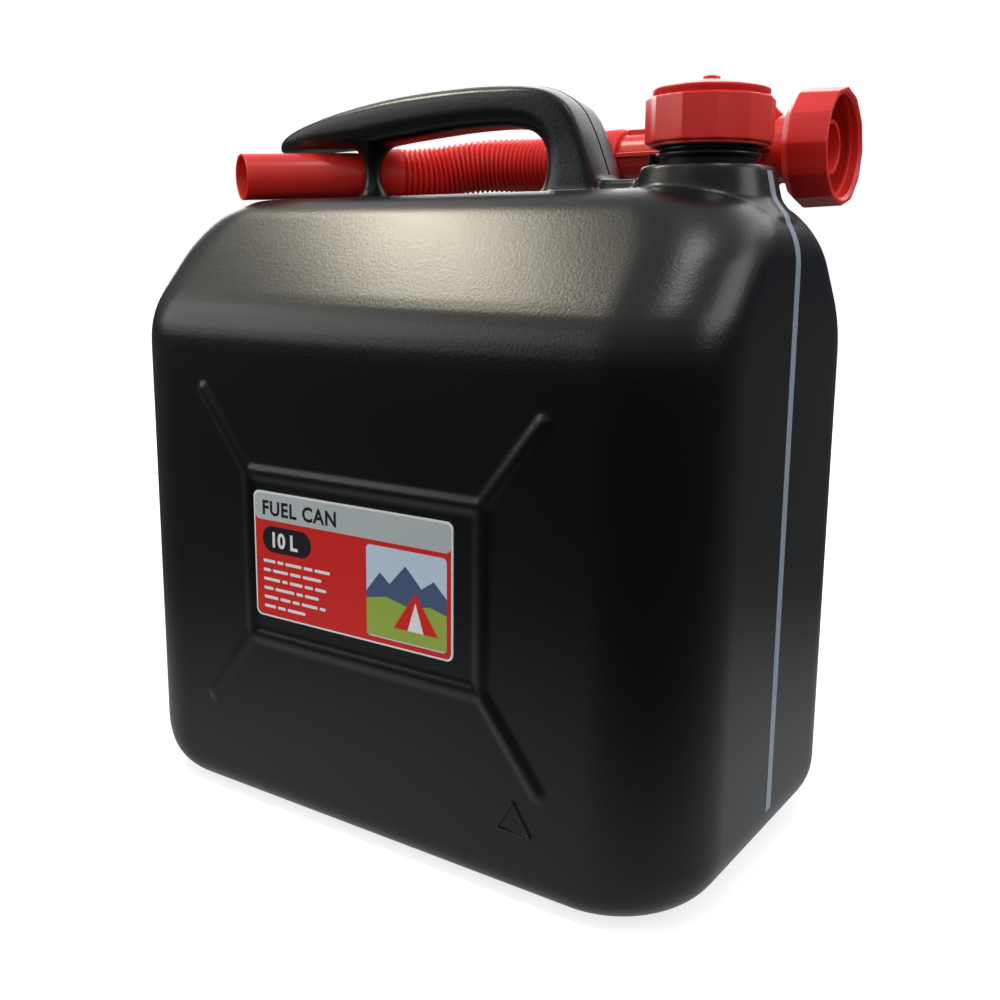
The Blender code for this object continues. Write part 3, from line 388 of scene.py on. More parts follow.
# Lights stand round this place: azimuth from +X and elevation in degrees, distance, width, height,
# watts and colour
LIGHT_TARGET = (0.03, -0.03, 0.24)
LIGHTS = {
    "key": (-169, 51, 1.15, 0.26, 0.20, 4.9, (1.0, 0.93, 0.74)),
    "left_fill": (-146, 22, 1.35, 1.0, 0.7, 4.0, (1.0, 1.0, 0.97)),
    "corner": (-20, 68, 1.10, 0.30, 0.30, 2.0, (1.0, 1.0, 0.98)),
    "right_fill": (14, 26, 1.30, 0.7, 0.5, 3.0, (1.0, 0.98, 0.96)),
    "back": (95, 34, 1.40, 1.6, 0.5, 5.0, (1.0, 1.0, 1.0)),
    "back_left": (142, 38, 1.40, 0.7, 0.7, 1.0, (1.0, 1.0, 1.0)),
    "back_right": (70, 44, 1.40, 1.5, 0.35, 2.0, (1.0, 1.0, 1.0)),
    "back_rim": (128, 13, 1.60, 1.5, 0.62, 11.0, (1.0, 1.0, 1.0)),
}
HIDDEN_LIGHT = "back_rim"

# Plastic: the slow drift of its tone and gloss, its grain, and how far light scatters in it
DRIFT_SCALE = 14.0
DRIFT_DETAIL = 3.0
GRAIN_DETAIL = 2.0
GRAIN_DEPTH = 0.0004
SCATTER_RADIUS = (0.004, 0.0012, 0.001)

# The body and the slot of the can's own pieces
CAN_BLACK = ("can", "black_polyethylene")


# Materials


def new_material(name):
    material = bpy.data.materials.new(name)
    material.use_nodes = True
    nodes = material.node_tree.nodes
    return material, nodes, material.node_tree.links, nodes["Principled BSDF"]


def add_object(name, data):
    obj = bpy.data.objects.new(name, data)
    bpy.context.scene.collection.objects.link(obj)
    return obj


def noise(nodes, links, scale, detail, vector):
    node = nodes.new("ShaderNodeTexNoise")
    node.inputs["Scale"].default_value = scale
    node.inputs["Detail"].default_value = detail
    links.new(vector, node.inputs["Vector"])
    return node


def tone_between(nodes, links, factor, dark, light):
    node = nodes.new("ShaderNodeMix")
    node.data_type = "RGBA"
    node.inputs[6].default_value = (*dark, 1)
    node.inputs[7].default_value = (*light, 1)
    links.new(factor, node.inputs[0])
    return node.outputs[2]


def mixed(nodes, links, factor, first, second):
    node = nodes.new("ShaderNodeMixShader")
    for socket, output in enumerate((factor, first, second)):
        links.new(output, node.inputs[socket])
    return node.outputs[0]


def mapped(nodes, links, value, start, end, low, high, interpolation="LINEAR"):
    node = nodes.new("ShaderNodeMapRange")
    node.interpolation_type = interpolation
    limits = {"From Min": start, "From Max": end, "To Min": low, "To Max": high}
    for socket, limit in limits.items():
        node.inputs[socket].default_value = limit
    links.new(value, node.inputs["Value"])
    return node.outputs["Result"]


def moulded_plastic(name, dark, light, roughness, grain, grain_scale, specular=0.5, subsurface=0.0):
    """Moulded plastic: a slow drift of tone and gloss, and a fine surface grain."""
    material, nodes, links, shader = new_material(name)
    place = nodes.new("ShaderNodeTexCoord").outputs["Object"]
    drift = noise(nodes, links, DRIFT_SCALE, DRIFT_DETAIL, place).outputs["Fac"]
    links.new(tone_between(nodes, links, drift, dark, light), shader.inputs["Base Color"])
    links.new(mapped(nodes, links, drift, 0.0, 1.0, *roughness), shader.inputs["Roughness"])
    fine = noise(nodes, links, grain_scale, GRAIN_DETAIL, place)
    bump = nodes.new("ShaderNodeBump")
    bump.inputs["Strength"].default_value = grain
    bump.inputs["Distance"].default_value = GRAIN_DEPTH
    links.new(fine.outputs["Fac"], bump.inputs["Height"])
    links.new(bump.outputs["Normal"], shader.inputs["Normal"])
    shader.inputs["Specular IOR Level"].default_value = specular
    shader.inputs["Subsurface Weight"].default_value = subsurface
    shader.inputs["Subsurface Radius"].default_value = SCATTER_RADIUS
    shader.inputs["Subsurface Scale"].default_value = 1.0
    return material


BLACK = moulded_plastic(
    "black_plastic", (0.0016, 0.0020, 0.0030), (0.0024, 0.0030, 0.0042), (0.28, 0.33), 0.16, 820.0
)
NECK_BLACK = moulded_plastic(
    "neck_plastic", (0.004, 0.0045, 0.0055), (0.006, 0.0065, 0.0080), (0.24, 0.32), 0.08, 1500.0
)
SEAM_BLACK = moulded_plastic(
    "seam_plastic", (0.0012, 0.0014, 0.0020), (0.0020, 0.0022, 0.0030), (0.85, 0.95), 0.05, 620.0, 0.05
)
RED_DARK = (0.58, 0.016, 0.013)
RED_LIGHT = (0.66, 0.024, 0.018)
# The hose's red is lighter than the other reds. Part of that is its own thinner, more translucent
# plastic. Part is painted light that brightens it as if it were lit more strongly.
HOSE_DARK_WITH_PAINTED_LIGHT = (0.72, 0.022, 0.018)
HOSE_LIGHT_WITH_PAINTED_LIGHT = (0.80, 0.030, 0.024)
CAP_RED = moulded_plastic("cap_red", RED_DARK, RED_LIGHT, (0.26, 0.36), 0.10, 900.0, 0.5, 0.12)
NUT_RED = moulded_plastic("nut_red", RED_DARK, RED_LIGHT, (0.28, 0.38), 0.12, 900.0, 0.5, 0.12)
BASE_RED = moulded_plastic("base_red", RED_DARK, RED_LIGHT, (0.24, 0.34), 0.08, 900.0, 0.5, 0.12)
HOSE_RED_WITH_PAINTED_LIGHT = moulded_plastic("hose_red_with_painted_light", HOSE_DARK_WITH_PAINTED_LIGHT, HOSE_LIGHT_WITH_PAINTED_LIGHT, (0.34, 0.44), 0.10, 900.0, 0.4, 0.25)
TIP_RED = moulded_plastic(
    "tip_red", (0.58, 0.020, 0.016), (0.66, 0.028, 0.022), (0.20, 0.30), 0.05, 900.0, 0.5, 0.18
)
SEAL = moulded_plastic(
    "seal_rubber", (0.02, 0.02, 0.02), (0.035, 0.035, 0.035), (0.6, 0.75), 0.2, 1200.0
)
STRIPE = moulded_plastic(
    "stripe_plastic", (0.20, 0.24, 0.30), (0.27, 0.31, 0.37), (0.30, 0.40), 0.10, 700.0, 0.5, 0.2
)


def ink(name, dark, light):
    return moulded_plastic(name, dark, light, (0.26, 0.34), 0.02, 400.0)


INK_RED = ink("ink_red", (0.58, 0.014, 0.012), (0.64, 0.020, 0.016))
INK_GREY = ink("ink_grey", (0.38, 0.42, 0.42), (0.50, 0.53, 0.53))
INK_BLACK = ink("ink_black", (0.010, 0.010, 0.012), (0.014, 0.014, 0.016))
INK_WHITE = ink("ink_white", (0.72, 0.72, 0.72), (0.80, 0.80, 0.80))
INK_SKY = ink("ink_sky", (0.42, 0.55, 0.68), (0.62, 0.70, 0.78))
INK_HILL = ink("ink_hill", (0.05, 0.08, 0.16), (0.08, 0.12, 0.22))
INK_MEADOW = ink("ink_meadow", (0.20, 0.32, 0.04), (0.38, 0.46, 0.08))


# Solids


def mesh_of(rings, loop=False, capped=True):
    """A mesh through rings of equal length."""
    bm = bmesh.new()
    rows = [[bm.verts.new(point) for point in ring] for ring in rings]
    pairs = list(zip(rows, rows[1:]))
    if loop:
        pairs.append((rows[-1], rows[0]))
    for lower, upper in pairs:
        count = len(lower)
        for i in range(count):
            j = (i + 1) % count
            bm.faces.new((lower[i], lower[j], upper[j], upper[i]))
    if capped and not loop:
        bm.faces.new(list(reversed(rows[0])))
        bm.faces.new(rows[-1])
    bmesh.ops.recalc_face_normals(bm, faces=bm.faces)
    mesh = bpy.data.meshes.new("solid")
    bm.to_mesh(mesh)
    bm.free()
    return mesh


def make(name, mesh, material, body, slot, frame_matrix=None, sharp=35.0, stands_for=None):
    mesh.name = name
    mesh.materials.clear()
    mesh.materials.append(material)
    mesh.shade_smooth()
    mesh.set_sharp_from_angle(angle=math.radians(sharp))
    obj = add_object(name, mesh)
    if frame_matrix is not None:
        obj.matrix_world = frame_matrix
    if body:
        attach(obj, body)
    if stands_for:
        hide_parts(stands_for)
    return obj


def baked(obj):
    """The object's evaluated mesh. The object itself is removed."""
    graph = bpy.context.evaluated_depsgraph_get()
    mesh = bpy.data.meshes.new_from_object(obj.evaluated_get(graph))
    bpy.data.objects.remove(obj, do_unlink=True)
    return mesh


def circle(radius, height, steps, centre_x=0):
    angles = (2 * math.pi * i / steps for i in range(steps))
    return [Vector((centre_x + radius * math.cos(a), radius * math.sin(a), height)) for a in angles]


def fillet(profile, radius, steps=4, closed=False):
    """The (radius, height) profile with each of its corners rounded."""
    points = [Vector(point) for point in profile]
    result = []
    count = len(points)
    for i, point in enumerate(points):
        if not closed and i in (0, count - 1):
            result.append(point)
            continue
        before = points[i - 1] - point
        after = points[(i + 1) % count] - point
        reach = min(radius, before.length * 0.45, after.length * 0.45)
        start = point + before.normalized() * reach
        end = point + after.normalized() * reach
        for k in range(steps + 1):
            t = k / steps
            result.append(start * (1 - t) ** 2 + point * 2 * t * (1 - t) + end * t**2)
    return result


def rounded_rectangle(half_x, half_y, radius, height, steps, centre_x=0):
    points = []
    for quarter, (side_x, side_y) in enumerate(((1, 1), (-1, 1), (-1, -1), (1, -1))):
        for i in range(steps + 1):
            angle = math.pi / 2 * (quarter + i / steps)
            x = centre_x + side_x * (half_x - radius) + radius * math.cos(angle)
            y = side_y * (half_y - radius) + radius * math.sin(angle)
            points.append(Vector((x, y, height)))
    return points


def edge_inset(distance, radius):
    if distance >= radius:
        return 0
    return radius - math.sqrt(radius**2 - (radius - max(distance, 0)) ** 2)


def shoulder_depth(height):
    """Half the can's depth at a height above its eave."""
    eave = Vector((BODY_DEPTH / 2, EAVE_HEIGHT))
    brow = Vector((PLATEAU_DEPTH / 2, PLATEAU_HEIGHT))
    slope = (brow - eave).normalized()
    lean = math.atan2(-slope.x, slope.y)
    eave_centre = eave + Vector((-EAVE_RADIUS, -EAVE_RADIUS * math.tan(lean / 2)))
    rest = math.pi / 2 - lean
    brow_centre = brow + Vector((-BROW_RADIUS * math.tan(rest / 2), -BROW_RADIUS))
    if height <= eave_centre.y:
        return BODY_DEPTH / 2
    if height <= eave_centre.y + EAVE_RADIUS * math.sin(lean):
        return eave_centre.x + math.sqrt(EAVE_RADIUS**2 - (height - eave_centre.y) ** 2)
    if height <= brow_centre.y + BROW_RADIUS * math.sin(lean):
        return eave.x + slope.x * (height - eave.y) / slope.y
    return brow_centre.x + math.sqrt(max(0, BROW_RADIUS**2 - (height - brow_centre.y) ** 2))


def body_rings():
    rings = []
    for i in range(BODY_RINGS + 1):
        share = i / BODY_RINGS
        height = PLATEAU_HEIGHT * (0.5 - 0.5 * math.cos(math.pi * share))
        half_width = BODY_WIDTH / 2 - edge_inset(height, BASE_END_RADIUS)
        half_width -= edge_inset(PLATEAU_HEIGHT - height, TOP_END_RADIUS)
        half_depth = shoulder_depth(height) - edge_inset(height, BASE_FRONT_RADIUS)
        corner = CORNER_RADIUS - edge_inset(height, BASE_FRONT_RADIUS)
        corner = min(corner, CORNER_DEPTH_SHARE * half_depth)
        rings.append(rounded_rectangle(half_width, half_depth, corner, height, BODY_CORNER_STEPS))
    return rings


def block_rings():
    half = BLOCK_SIZE / 2
    growth = half - BLOCK_CORNER
    sections = (
        (BLOCK_TOP - BLOCK_ROOT_DEPTH, half + BLOCK_DRAFT + BLOCK_FLARE),
        (BLOCK_TOP - BLOCK_FOOT_DEPTH, half + BLOCK_DRAFT),
        (BLOCK_TOP - BLOCK_EDGE, half),
        (BLOCK_TOP, half - BLOCK_EDGE),
    )
    return [
        rounded_rectangle(size, size, size - growth, height, BLOCK_CORNER_STEPS, NECK_X)
        for height, size in sections
    ]


def between_stations(position):
    """A handle station between the given ones, on a smooth curve through them."""
    last = len(HANDLE_STATION_SHARES) - 1
    index = min(int(position), last - 1)
    t = position - index
    rows = [HANDLE_STATION_SHARES[min(max(index + k, 0), last)] for k in (-1, 0, 1, 2)]
    values = []
    for a, b, c, d in zip(*rows):
        curving = 2 * a - 5 * b + 4 * c - d + t * (3 * (b - c) + d - a)
        values.append(b + 0.5 * t * (c - a + t * curving))
    return values


def handle_place(share_x, share_z):
    return Vector((HANDLE_NOSE_X + HANDLE_SPAN * share_x, 0, PLATEAU_HEIGHT + HANDLE_RISE * share_z))


def handle_section(half_width, half_height, share_x):
    """Crowned and soft-edged outside along the grip, flatter and tighter down the rear leg."""
    blend = (share_x - LEG_START_SHARE) / (LEG_END_SHARE - LEG_START_SHARE)
    blend = min(1, max(0, blend))
    crown_share = GRIP_CROWN_SHARE + (LEG_CROWN_SHARE - GRIP_CROWN_SHARE) * blend
    smaller = min(half_width, half_height)
    edge = (GRIP_ROUND_SHARE + (LEG_ROUND_SHARE - GRIP_ROUND_SHARE) * blend) * smaller
    inner_edge = HANDLE_INNER_ROUND_SHARE * smaller
    outer = rounded_rectangle(half_width, half_height, edge, 0, HANDLE_SIDE_STEPS)
    inner = rounded_rectangle(half_width, half_height, inner_edge, 0, HANDLE_SIDE_STEPS)
    quarter = HANDLE_SIDE_STEPS + 1
    shares = (1 - 2 * k / HANDLE_CROWN_STEPS for k in range(1, HANDLE_CROWN_STEPS))
    crown = [Vector(((half_width - edge) * share, half_height, 0)) for share in shares]
    upper = outer[:quarter] + crown + outer[quarter : 2 * quarter]
    for point in upper:
        point.y *= 1 - crown_share * (point.x / half_width) ** 2
    return upper + inner[2 * quarter :]


def handle_rings():
    rings = []
    count = (len(HANDLE_STATION_SHARES) - 1) * HANDLE_FINE_STEPS
    for i in range(count + 1):
        outer_x, outer_z, inner_x, inner_z, width_share = between_stations(i / HANDLE_FINE_STEPS)
        outer = handle_place(outer_x, outer_z)
        inner = handle_place(inner_x, inner_z)
        middle = (outer + inner) / 2
        across = (outer - inner) / 2
        half_width = HANDLE_WIDTH * width_share / 2
        flat = handle_section(half_width, across.length, outer_x)
        direction = across.normalized()
        rings.append([middle + Vector((0, point.x, 0)) + direction * point.y for point in flat])
    return rings


def pillar_rings():
    rings = []
    for i in range(PILLAR_RINGS + 1):
        share = -PILLAR_REACH_SHARE + 2 * PILLAR_REACH_SHARE * i / PILLAR_RINGS
        flare = abs(share) ** PILLAR_FLARE_POWER
        radius = PILLAR_WAIST_RADIUS + (PILLAR_FLARE_RADIUS - PILLAR_WAIST_RADIUS) * flare
        if share > 0:
            radius = min(radius, PILLAR_TOP_RADIUS)
        height = PLATEAU_HEIGHT + PILLAR_WAIST_HEIGHT * (1 + share)
        rings.append(circle(radius, height, PILLAR_STEPS, PILLAR_X))
    return rings


def bridge_rings():
    rings = []
    for lift, growth in ((-BRIDGE_ROOT, BRIDGE_ROOT), (BRIDGE_RISE, 0)):
        height = PLATEAU_HEIGHT + lift
        half_x = BRIDGE_LENGTH / 2 + growth
        half_y = BRIDGE_WIDTH / 2 + growth
        ring = rounded_rectangle(half_x, half_y, BRIDGE_CORNER, height, BRIDGE_CORNER_STEPS, BRIDGE_X)
        rings.append(ring)
    return rings


def rib_height(x, z):
    """How far the front stands out at a place, for the moulded ribs."""
    frame_x, frame_z = RIB_FRAME_WIDTH / 2, RIB_FRAME_HEIGHT / 2
    end_x, end_z = RIB_END_WIDTH / 2, RIB_END_HEIGHT / 2
    px, pz = abs(x), abs(z - RIB_CENTRE_HEIGHT)
    segments = (
        ((0, frame_z), (frame_x, frame_z)),
        ((frame_x, 0), (frame_x, frame_z)),
        ((frame_x, frame_z), (end_x, end_z)),
    )
    nearest = math.inf
    for (ax, az), (bx, bz) in segments:
        dx, dz = bx - ax, bz - az
        t = max(0, min(1, ((px - ax) * dx + (pz - az) * dz) / (dx * dx + dz * dz)))
        nearest = min(nearest, math.hypot(px - ax - t * dx, pz - az - t * dz))
    share = nearest / (RIB_BREADTH / 2)
    if share >= 1:
        return 0
    return RIB_RISE * (1 - share**2) ** RIB_ROUNDNESS


def build_skin():
    """The can's mouldings merged into one skin, softened, and raised at the ribs."""
    joined = bmesh.new()
    for rings in (body_rings(), block_rings(), handle_rings(), pillar_rings(), bridge_rings()):
        joined.from_mesh(mesh_of(rings))
    mesh = bpy.data.meshes.new("joined")
    joined.to_mesh(mesh)
    joined.free()
    raw = add_object("joined", mesh)
    remesh = raw.modifiers.new("merge", "REMESH")
    remesh.mode = "VOXEL"
    remesh.voxel_size = SKIN_VOXEL
    smooth = raw.modifiers.new("soften", "SMOOTH")
    smooth.factor = SKIN_SMOOTH_FACTOR
    smooth.iterations = SKIN_SMOOTH_ROUNDS
    skin = baked(raw)
    for vertex in skin.vertices:
        x, y, z = vertex.co
        if abs(y) > BODY_DEPTH / 2 - RIB_FACE_MARGIN and z < EAVE_HEIGHT:
            vertex.co.y += math.copysign(rib_height(x, z), y)
    return make("can_skin", skin, BLACK, *CAN_BLACK, None, SMOOTH_ALL, "can_body")


def tube_along(points, radius, steps=8):
    rings = []
    for i, point in enumerate(points):
        ahead = points[min(i + 1, len(points) - 1)] - points[max(i - 1, 0)]
        rotation = ahead.to_track_quat("Z", "Y").to_matrix()
        rings.append([point + rotation @ spoke for spoke in circle(radius, 0, steps)])
    return mesh_of(rings)


def thread_rings(radius, depth_sign, start, turns):
    """A thread that stands out of a bolt (1) or into a bore (-1), and fades away at its ends."""
    rings = []
    steps = round(THREAD_STEPS_PER_TURN * turns)
    for i in range(steps + 1):
        share = i / steps
        fade = min(1, share / THREAD_FADE_SHARE, (1 - share) / THREAD_FADE_SHARE)
        crest = radius + depth_sign * (THREAD_DEPTH * fade - THREAD_END_SINK)
        root = radius - depth_sign * THREAD_ROOT_SINK
        angle = 2 * math.pi * turns * share
        middle = start + THREAD_PITCH * turns * share
        spoke = Vector((math.cos(angle), math.sin(angle), 0))
        half_root, half_crest = THREAD_ROOT_BREADTH / 2, THREAD_CREST_BREADTH / 2
        corners = ((root, -half_root), (crest, -half_crest), (crest, half_crest), (root, half_root))
        rings.append([spoke * reach + Vector((0, 0, middle + lift)) for reach, lift in corners])
    return rings


def build_neck():
    bead = BLOCK_TOP + BEAD_LIFT
    root = BLOCK_TOP - NECK_ROOT_DEPTH
    profile = fillet(
        (
            (NECK_RADIUS, root),
            (NECK_RADIUS, bead),
            (BEAD_RADIUS, bead + BEAD_HEIGHT / 3),
            (BEAD_RADIUS, bead + BEAD_HEIGHT * 2 / 3),
            (NECK_RADIUS, bead + BEAD_HEIGHT),
            (NECK_RADIUS, NECK_TOP),
            (NECK_BORE_RADIUS, NECK_TOP),
            (NECK_BORE_RADIUS, root),
        ),
        NECK_EDGE,
        closed=True,
    )
    place = Matrix.Translation((NECK_X, 0, 0))
    rings = [circle(radius, height, NECK_STEPS) for radius, height in profile]
    make("neck", mesh_of(rings, True), NECK_BLACK, *CAN_BLACK, place)
    thread = mesh_of(thread_rings(NECK_RADIUS, 1, BLOCK_TOP + THREAD_START, THREAD_TURNS))
    make("neck_thread", thread, NECK_BLACK, *CAN_BLACK, place)
    lug = [
        rounded_rectangle(LUG_LENGTH / 2, LUG_WIDTH / 2, LUG_CORNER, height, LUG_CORNER_STEPS, LUG_X)
        for height in (BLOCK_TOP - LUG_ROOT_DEPTH, BLOCK_TOP + LUG_RISE)
    ]
    make("neck_lug", mesh_of(lug), BLACK, *CAN_BLACK)


def build_details(skin):
    """The stripe, the triangle and the mould's parting line, all laid on the can's skin."""
    graph = bpy.context.evaluated_depsgraph_get()
    tree = BVHTree.FromObject(skin, graph)
    top = BLOCK_TOP - STRIPE_TOP_MARGIN
    surface = []
    for i in range(STRIPE_STEPS + 1):
        height = STRIPE_BOTTOM + (top - STRIPE_BOTTOM) * i / STRIPE_STEPS
        surface.append(tree.ray_cast(Vector((STRIPE_RAY_X, 0, height)), Vector((-1, 0, 0)))[0])
    rings = []
    side = Vector((0, STRIPE_WIDTH / 2, 0))
    for i, point in enumerate(surface):
        above = surface[min(i + STRIPE_SLOPE_STEPS, STRIPE_STEPS)]
        run = above - surface[max(i - STRIPE_SLOPE_STEPS, 0)]
        outward = Vector((run.z, 0, -run.x)).normalized()
        front = point + outward * STRIPE_PROUD
        back = point - outward * STRIPE_DEPTH
        rings.append([front + side, front - side, back - side, back + side])
    stripe = mesh_of(rings)
    make("stripe", stripe, STRIPE, "can", "translucent_stripe", None, STRIPE_SHARP_ANGLE, "level_stripe")
    corners = [Vector((x, -BODY_DEPTH / 2, z)) for x, z in TRIANGLE_POINTS]
    for i in range(3):
        a, b = corners[i - 1], corners[i]
        points = [a.lerp(b, k / TRIANGLE_SIDE_STEPS) for k in range(TRIANGLE_SIDE_STEPS + 1)]
        make(f"triangle_{i}", tube_along(points, TRIANGLE_LINE), BLACK, *CAN_BLACK)
    line = []
    count = (len(HANDLE_STATION_SHARES) - 1) * HANDLE_FINE_STEPS
    for i in range(HANDLE_FINE_STEPS, count - HANDLE_FINE_STEPS):
        outer_x, outer_z, inner_x, inner_z, _ = between_stations(i / HANDLE_FINE_STEPS)
        outer = handle_place(outer_x, outer_z)
        inner = handle_place(inner_x, inner_z)
        outward = (outer - inner).normalized()
        hit = tree.ray_cast(outer + outward * PARTING_LINE_RAY, -outward)[0]
        if hit is not None:
            line.append(hit - outward * (PARTING_LINE_RADIUS - PARTING_LINE_PROUD))
    seam = tube_along(line, PARTING_LINE_RADIUS, PARTING_LINE_STEPS)
    make("handle_parting_line", seam, SEAM_BLACK, *CAN_BLACK)


# Label


def label_place(layer):
    """A frame on the label: X to the right, Y up, Z out of it, at a print layer."""
    face = -BODY_DEPTH / 2 - LABEL_FACE - PRINT_LAYER * layer
    place = Matrix.Translation((LABEL_OFFSET_X, face, RIB_CENTRE_HEIGHT + LABEL_OFFSET_Z))
    return place @ Matrix.Rotation(math.pi / 2, 4, "X")


def panel(name, outline, material, layer):
    """A flat printed area with the given outline, in millimetres on the label."""
    ring = [Vector((x * MM, y * MM, 0)) for x, y in outline]
    lift = Vector((0, 0, PRINT_LAYER * PRINT_THICKNESS_SHARE))
    mesh = mesh_of([ring, [point + lift for point in ring]])
    return make(name, mesh, material, "can", "printed_label", label_place(layer))


def box_outline(left, bottom, right, top, radius=0.3, steps=6):
    half_x, half_y = (right - left) / 2, (top - bottom) / 2
    ring = rounded_rectangle(half_x, half_y, radius, 0, steps)
    return [(point.x + (left + right) / 2, point.y + (bottom + top) / 2) for point in ring]


def land_outline(skyline, bottom):
    """The land under a skyline that runs from left to right."""
    return [*reversed(skyline), (skyline[0][0], bottom), (skyline[-1][0], bottom)]


def words(name, text, x, y, size, material, layer, spread=1.0, bold=0.0):
    curve = bpy.data.curves.new(name, "FONT")
    curve.body = text
    curve.size = size * MM
    curve.space_character = spread
    curve.offset = bold * MM
    curve.extrude = PRINT_LAYER / 2
    curve.resolution_u = 3
    mesh = baked(add_object(name, curve))
    place = label_place(layer) @ Matrix.Translation((x * MM, y * MM, 0))
    return make(name, mesh, material, "can", "printed_label", place, SMOOTH_ALL)


def build_label():
    ring = rounded_rectangle(LABEL_WIDTH / 2, LABEL_HEIGHT / 2, LABEL_CORNER, 0, LABEL_CORNER_STEPS)
    depth = Vector((0, 0, LABEL_BACK - LABEL_FACE))
    plate = mesh_of([ring, [point + depth for point in ring]])
    place = label_place(0)
    make("label_plate", plate, INK_WHITE, "can", "printed_label", place, stands_for="label")
    panel("label_red", box_outline(*LABEL_FIELD), INK_RED, 1)
    panel("label_band", box_outline(*LABEL_BAND), INK_GREY, 2)
    look = (LABEL_TITLE_SIZE, INK_BLACK, 3, LABEL_TITLE_SPREAD, LABEL_TITLE_BOLD)
    words("label_title", "FUEL CAN", *LABEL_TITLE_PLACE, *look)
    panel("label_badge", box_outline(*LABEL_BADGE, LABEL_BADGE_STEPS), INK_BLACK, 2)
    look = (LABEL_NUMBER_SIZE, INK_WHITE, 3, 1.0, LABEL_NUMBER_BOLD)
    words("label_badge_number", "10 L", *LABEL_NUMBER_PLACE, *look)
    for row, breadths in enumerate(LABEL_WORD_ROWS):
        left = LABEL_TEXT_LEFT
        base = LABEL_TEXT_TOP - LABEL_ROW_STEP * row
        for column, breadth in enumerate(breadths):
            right, top = left + breadth, base + LABEL_WORD_HEIGHT
            outline = box_outline(left, base, right, top, LABEL_WORD_CORNER)
            panel(f"label_word_{row}_{column}", outline, INK_WHITE, 2)
            left += breadth + LABEL_WORD_GAP
    panel("label_sky", box_outline(*LABEL_SKY), INK_SKY, 2)
    panel("label_hills", land_outline(LABEL_HILLS, LABEL_HILLS_BOTTOM), INK_HILL, 3)
    panel("label_meadow", land_outline(LABEL_MEADOW, LABEL_MEADOW_BOTTOM), INK_MEADOW, 4)
    panel("label_tent", LABEL_TENT, INK_RED, 5)
    panel("label_tent_door", LABEL_TENT_DOOR, INK_WHITE, 6)


# Cap


def fluted(radius, height, depth):
    ring = []
    count = CAP_FLUTES * CAP_FLUTE_STEPS
    for i in range(count):
        angle = 2 * math.pi * i / count
        share = (i % CAP_FLUTE_STEPS) / CAP_FLUTE_STEPS
        reach = radius - depth * math.sin(math.pi * share)
        ring.append(Vector((reach * math.cos(angle), reach * math.sin(angle), height)))
    return ring


def build_cap():
    place = Matrix.Translation((NECK_X, 0, 0))
    count = CAP_FLUTES * CAP_FLUTE_STEPS
    rim = CAP_RADIUS - CAP_FLUTE_DEPTH - CAP_RIM_INSET
    skirt_bottom = CAP_BOTTOM + CAP_RIM_HEIGHT
    ceiling = CAP_SKIRT_TOP - CAP_CEILING_DROP
    step_height = CAP_SKIRT_TOP + CAP_STEP_RISE
    inside = (
        (CAP_CEILING_CENTRE, ceiling),
        (CAP_BORE_RADIUS, ceiling),
        (CAP_BORE_RADIUS, CAP_BOTTOM),
        (rim - CAP_BOTTOM_EDGE, CAP_BOTTOM),
        (rim, CAP_BOTTOM + CAP_BOTTOM_EDGE),
        (rim, skirt_bottom),
    )
    rings = [circle(radius, height, count) for radius, height in inside]
    side = fillet(
        (
            (rim, skirt_bottom),
            (CAP_RADIUS, skirt_bottom),
            (CAP_RADIUS, CAP_SKIRT_TOP),
            (CAP_STEP_RADIUS, step_height),
        ),
        CAP_SKIRT_EDGE,
        CAP_EDGE_STEPS,
    )
    for radius, height in side[1:]:
        share = max(0, min(1, (radius - rim) / (CAP_RADIUS - rim)))
        rings.append(fluted(radius, height, CAP_FLUTE_DEPTH * share))
    disc_top = CAP_SKIRT_TOP + CAP_DISC_HEIGHT
    dome_top = disc_top + CAP_DOME_RISE
    crown = fillet(
        (
            (CAP_DISC_RADIUS - CAP_DISC_FOOT_INSET, step_height),
            (CAP_DISC_RADIUS - CAP_DISC_WAIST_INSET, CAP_SKIRT_TOP + CAP_DISC_WAIST_RISE),
            (CAP_DISC_RADIUS, disc_top - CAP_DISC_EDGE_DROP),
            (CAP_DISC_RADIUS * CAP_DOME_MID_SHARE, disc_top + CAP_DOME_RISE * CAP_DOME_MID_RISE_SHARE),
            (CAP_NUB_RADIUS, dome_top),
            (CAP_NUB_RADIUS, dome_top + CAP_NUB_HEIGHT),
            (CAP_NUB_CENTRE, dome_top + CAP_NUB_HEIGHT),
        ),
        CAP_CROWN_EDGE,
        CAP_EDGE_STEPS,
    )
    rings += [circle(radius, height, count) for radius, height in crown]
    shell = mesh_of(rings)
    make("cap_shell", shell, CAP_RED, "cap", "red_cap", place, CAP_SHARP_ANGLE, "filler_cap")


# Spout


def axis_frame(origin, direction):
    """A frame at the origin with Z along the direction and X level."""
    z_axis = direction.normalized()
    x_axis = Vector((0, 0, 1)).cross(z_axis).normalized()
    y_axis = z_axis.cross(x_axis)
    rotation = Matrix((x_axis, y_axis, z_axis)).transposed().to_4x4()
    return Matrix.Translation(origin) @ rotation


def spout_frame():
    return axis_frame(Vector((SPOUT_MOUTH_X, SPOUT_AXIS_Y, SPOUT_AXIS_HEIGHT)), Vector((1, 0, 0)))


def tip_axis():
    """Where the tip's axis crosses the can's middle plane, and its direction towards the hose."""
    level = math.cos(TIP_RISE)
    direction = Vector((math.cos(TIP_TURN) * level, math.sin(TIP_TURN) * level, math.sin(TIP_RISE)))
    return Vector((TIP_CROSSING_X, 0, TIP_CROSSING_HEIGHT)), direction


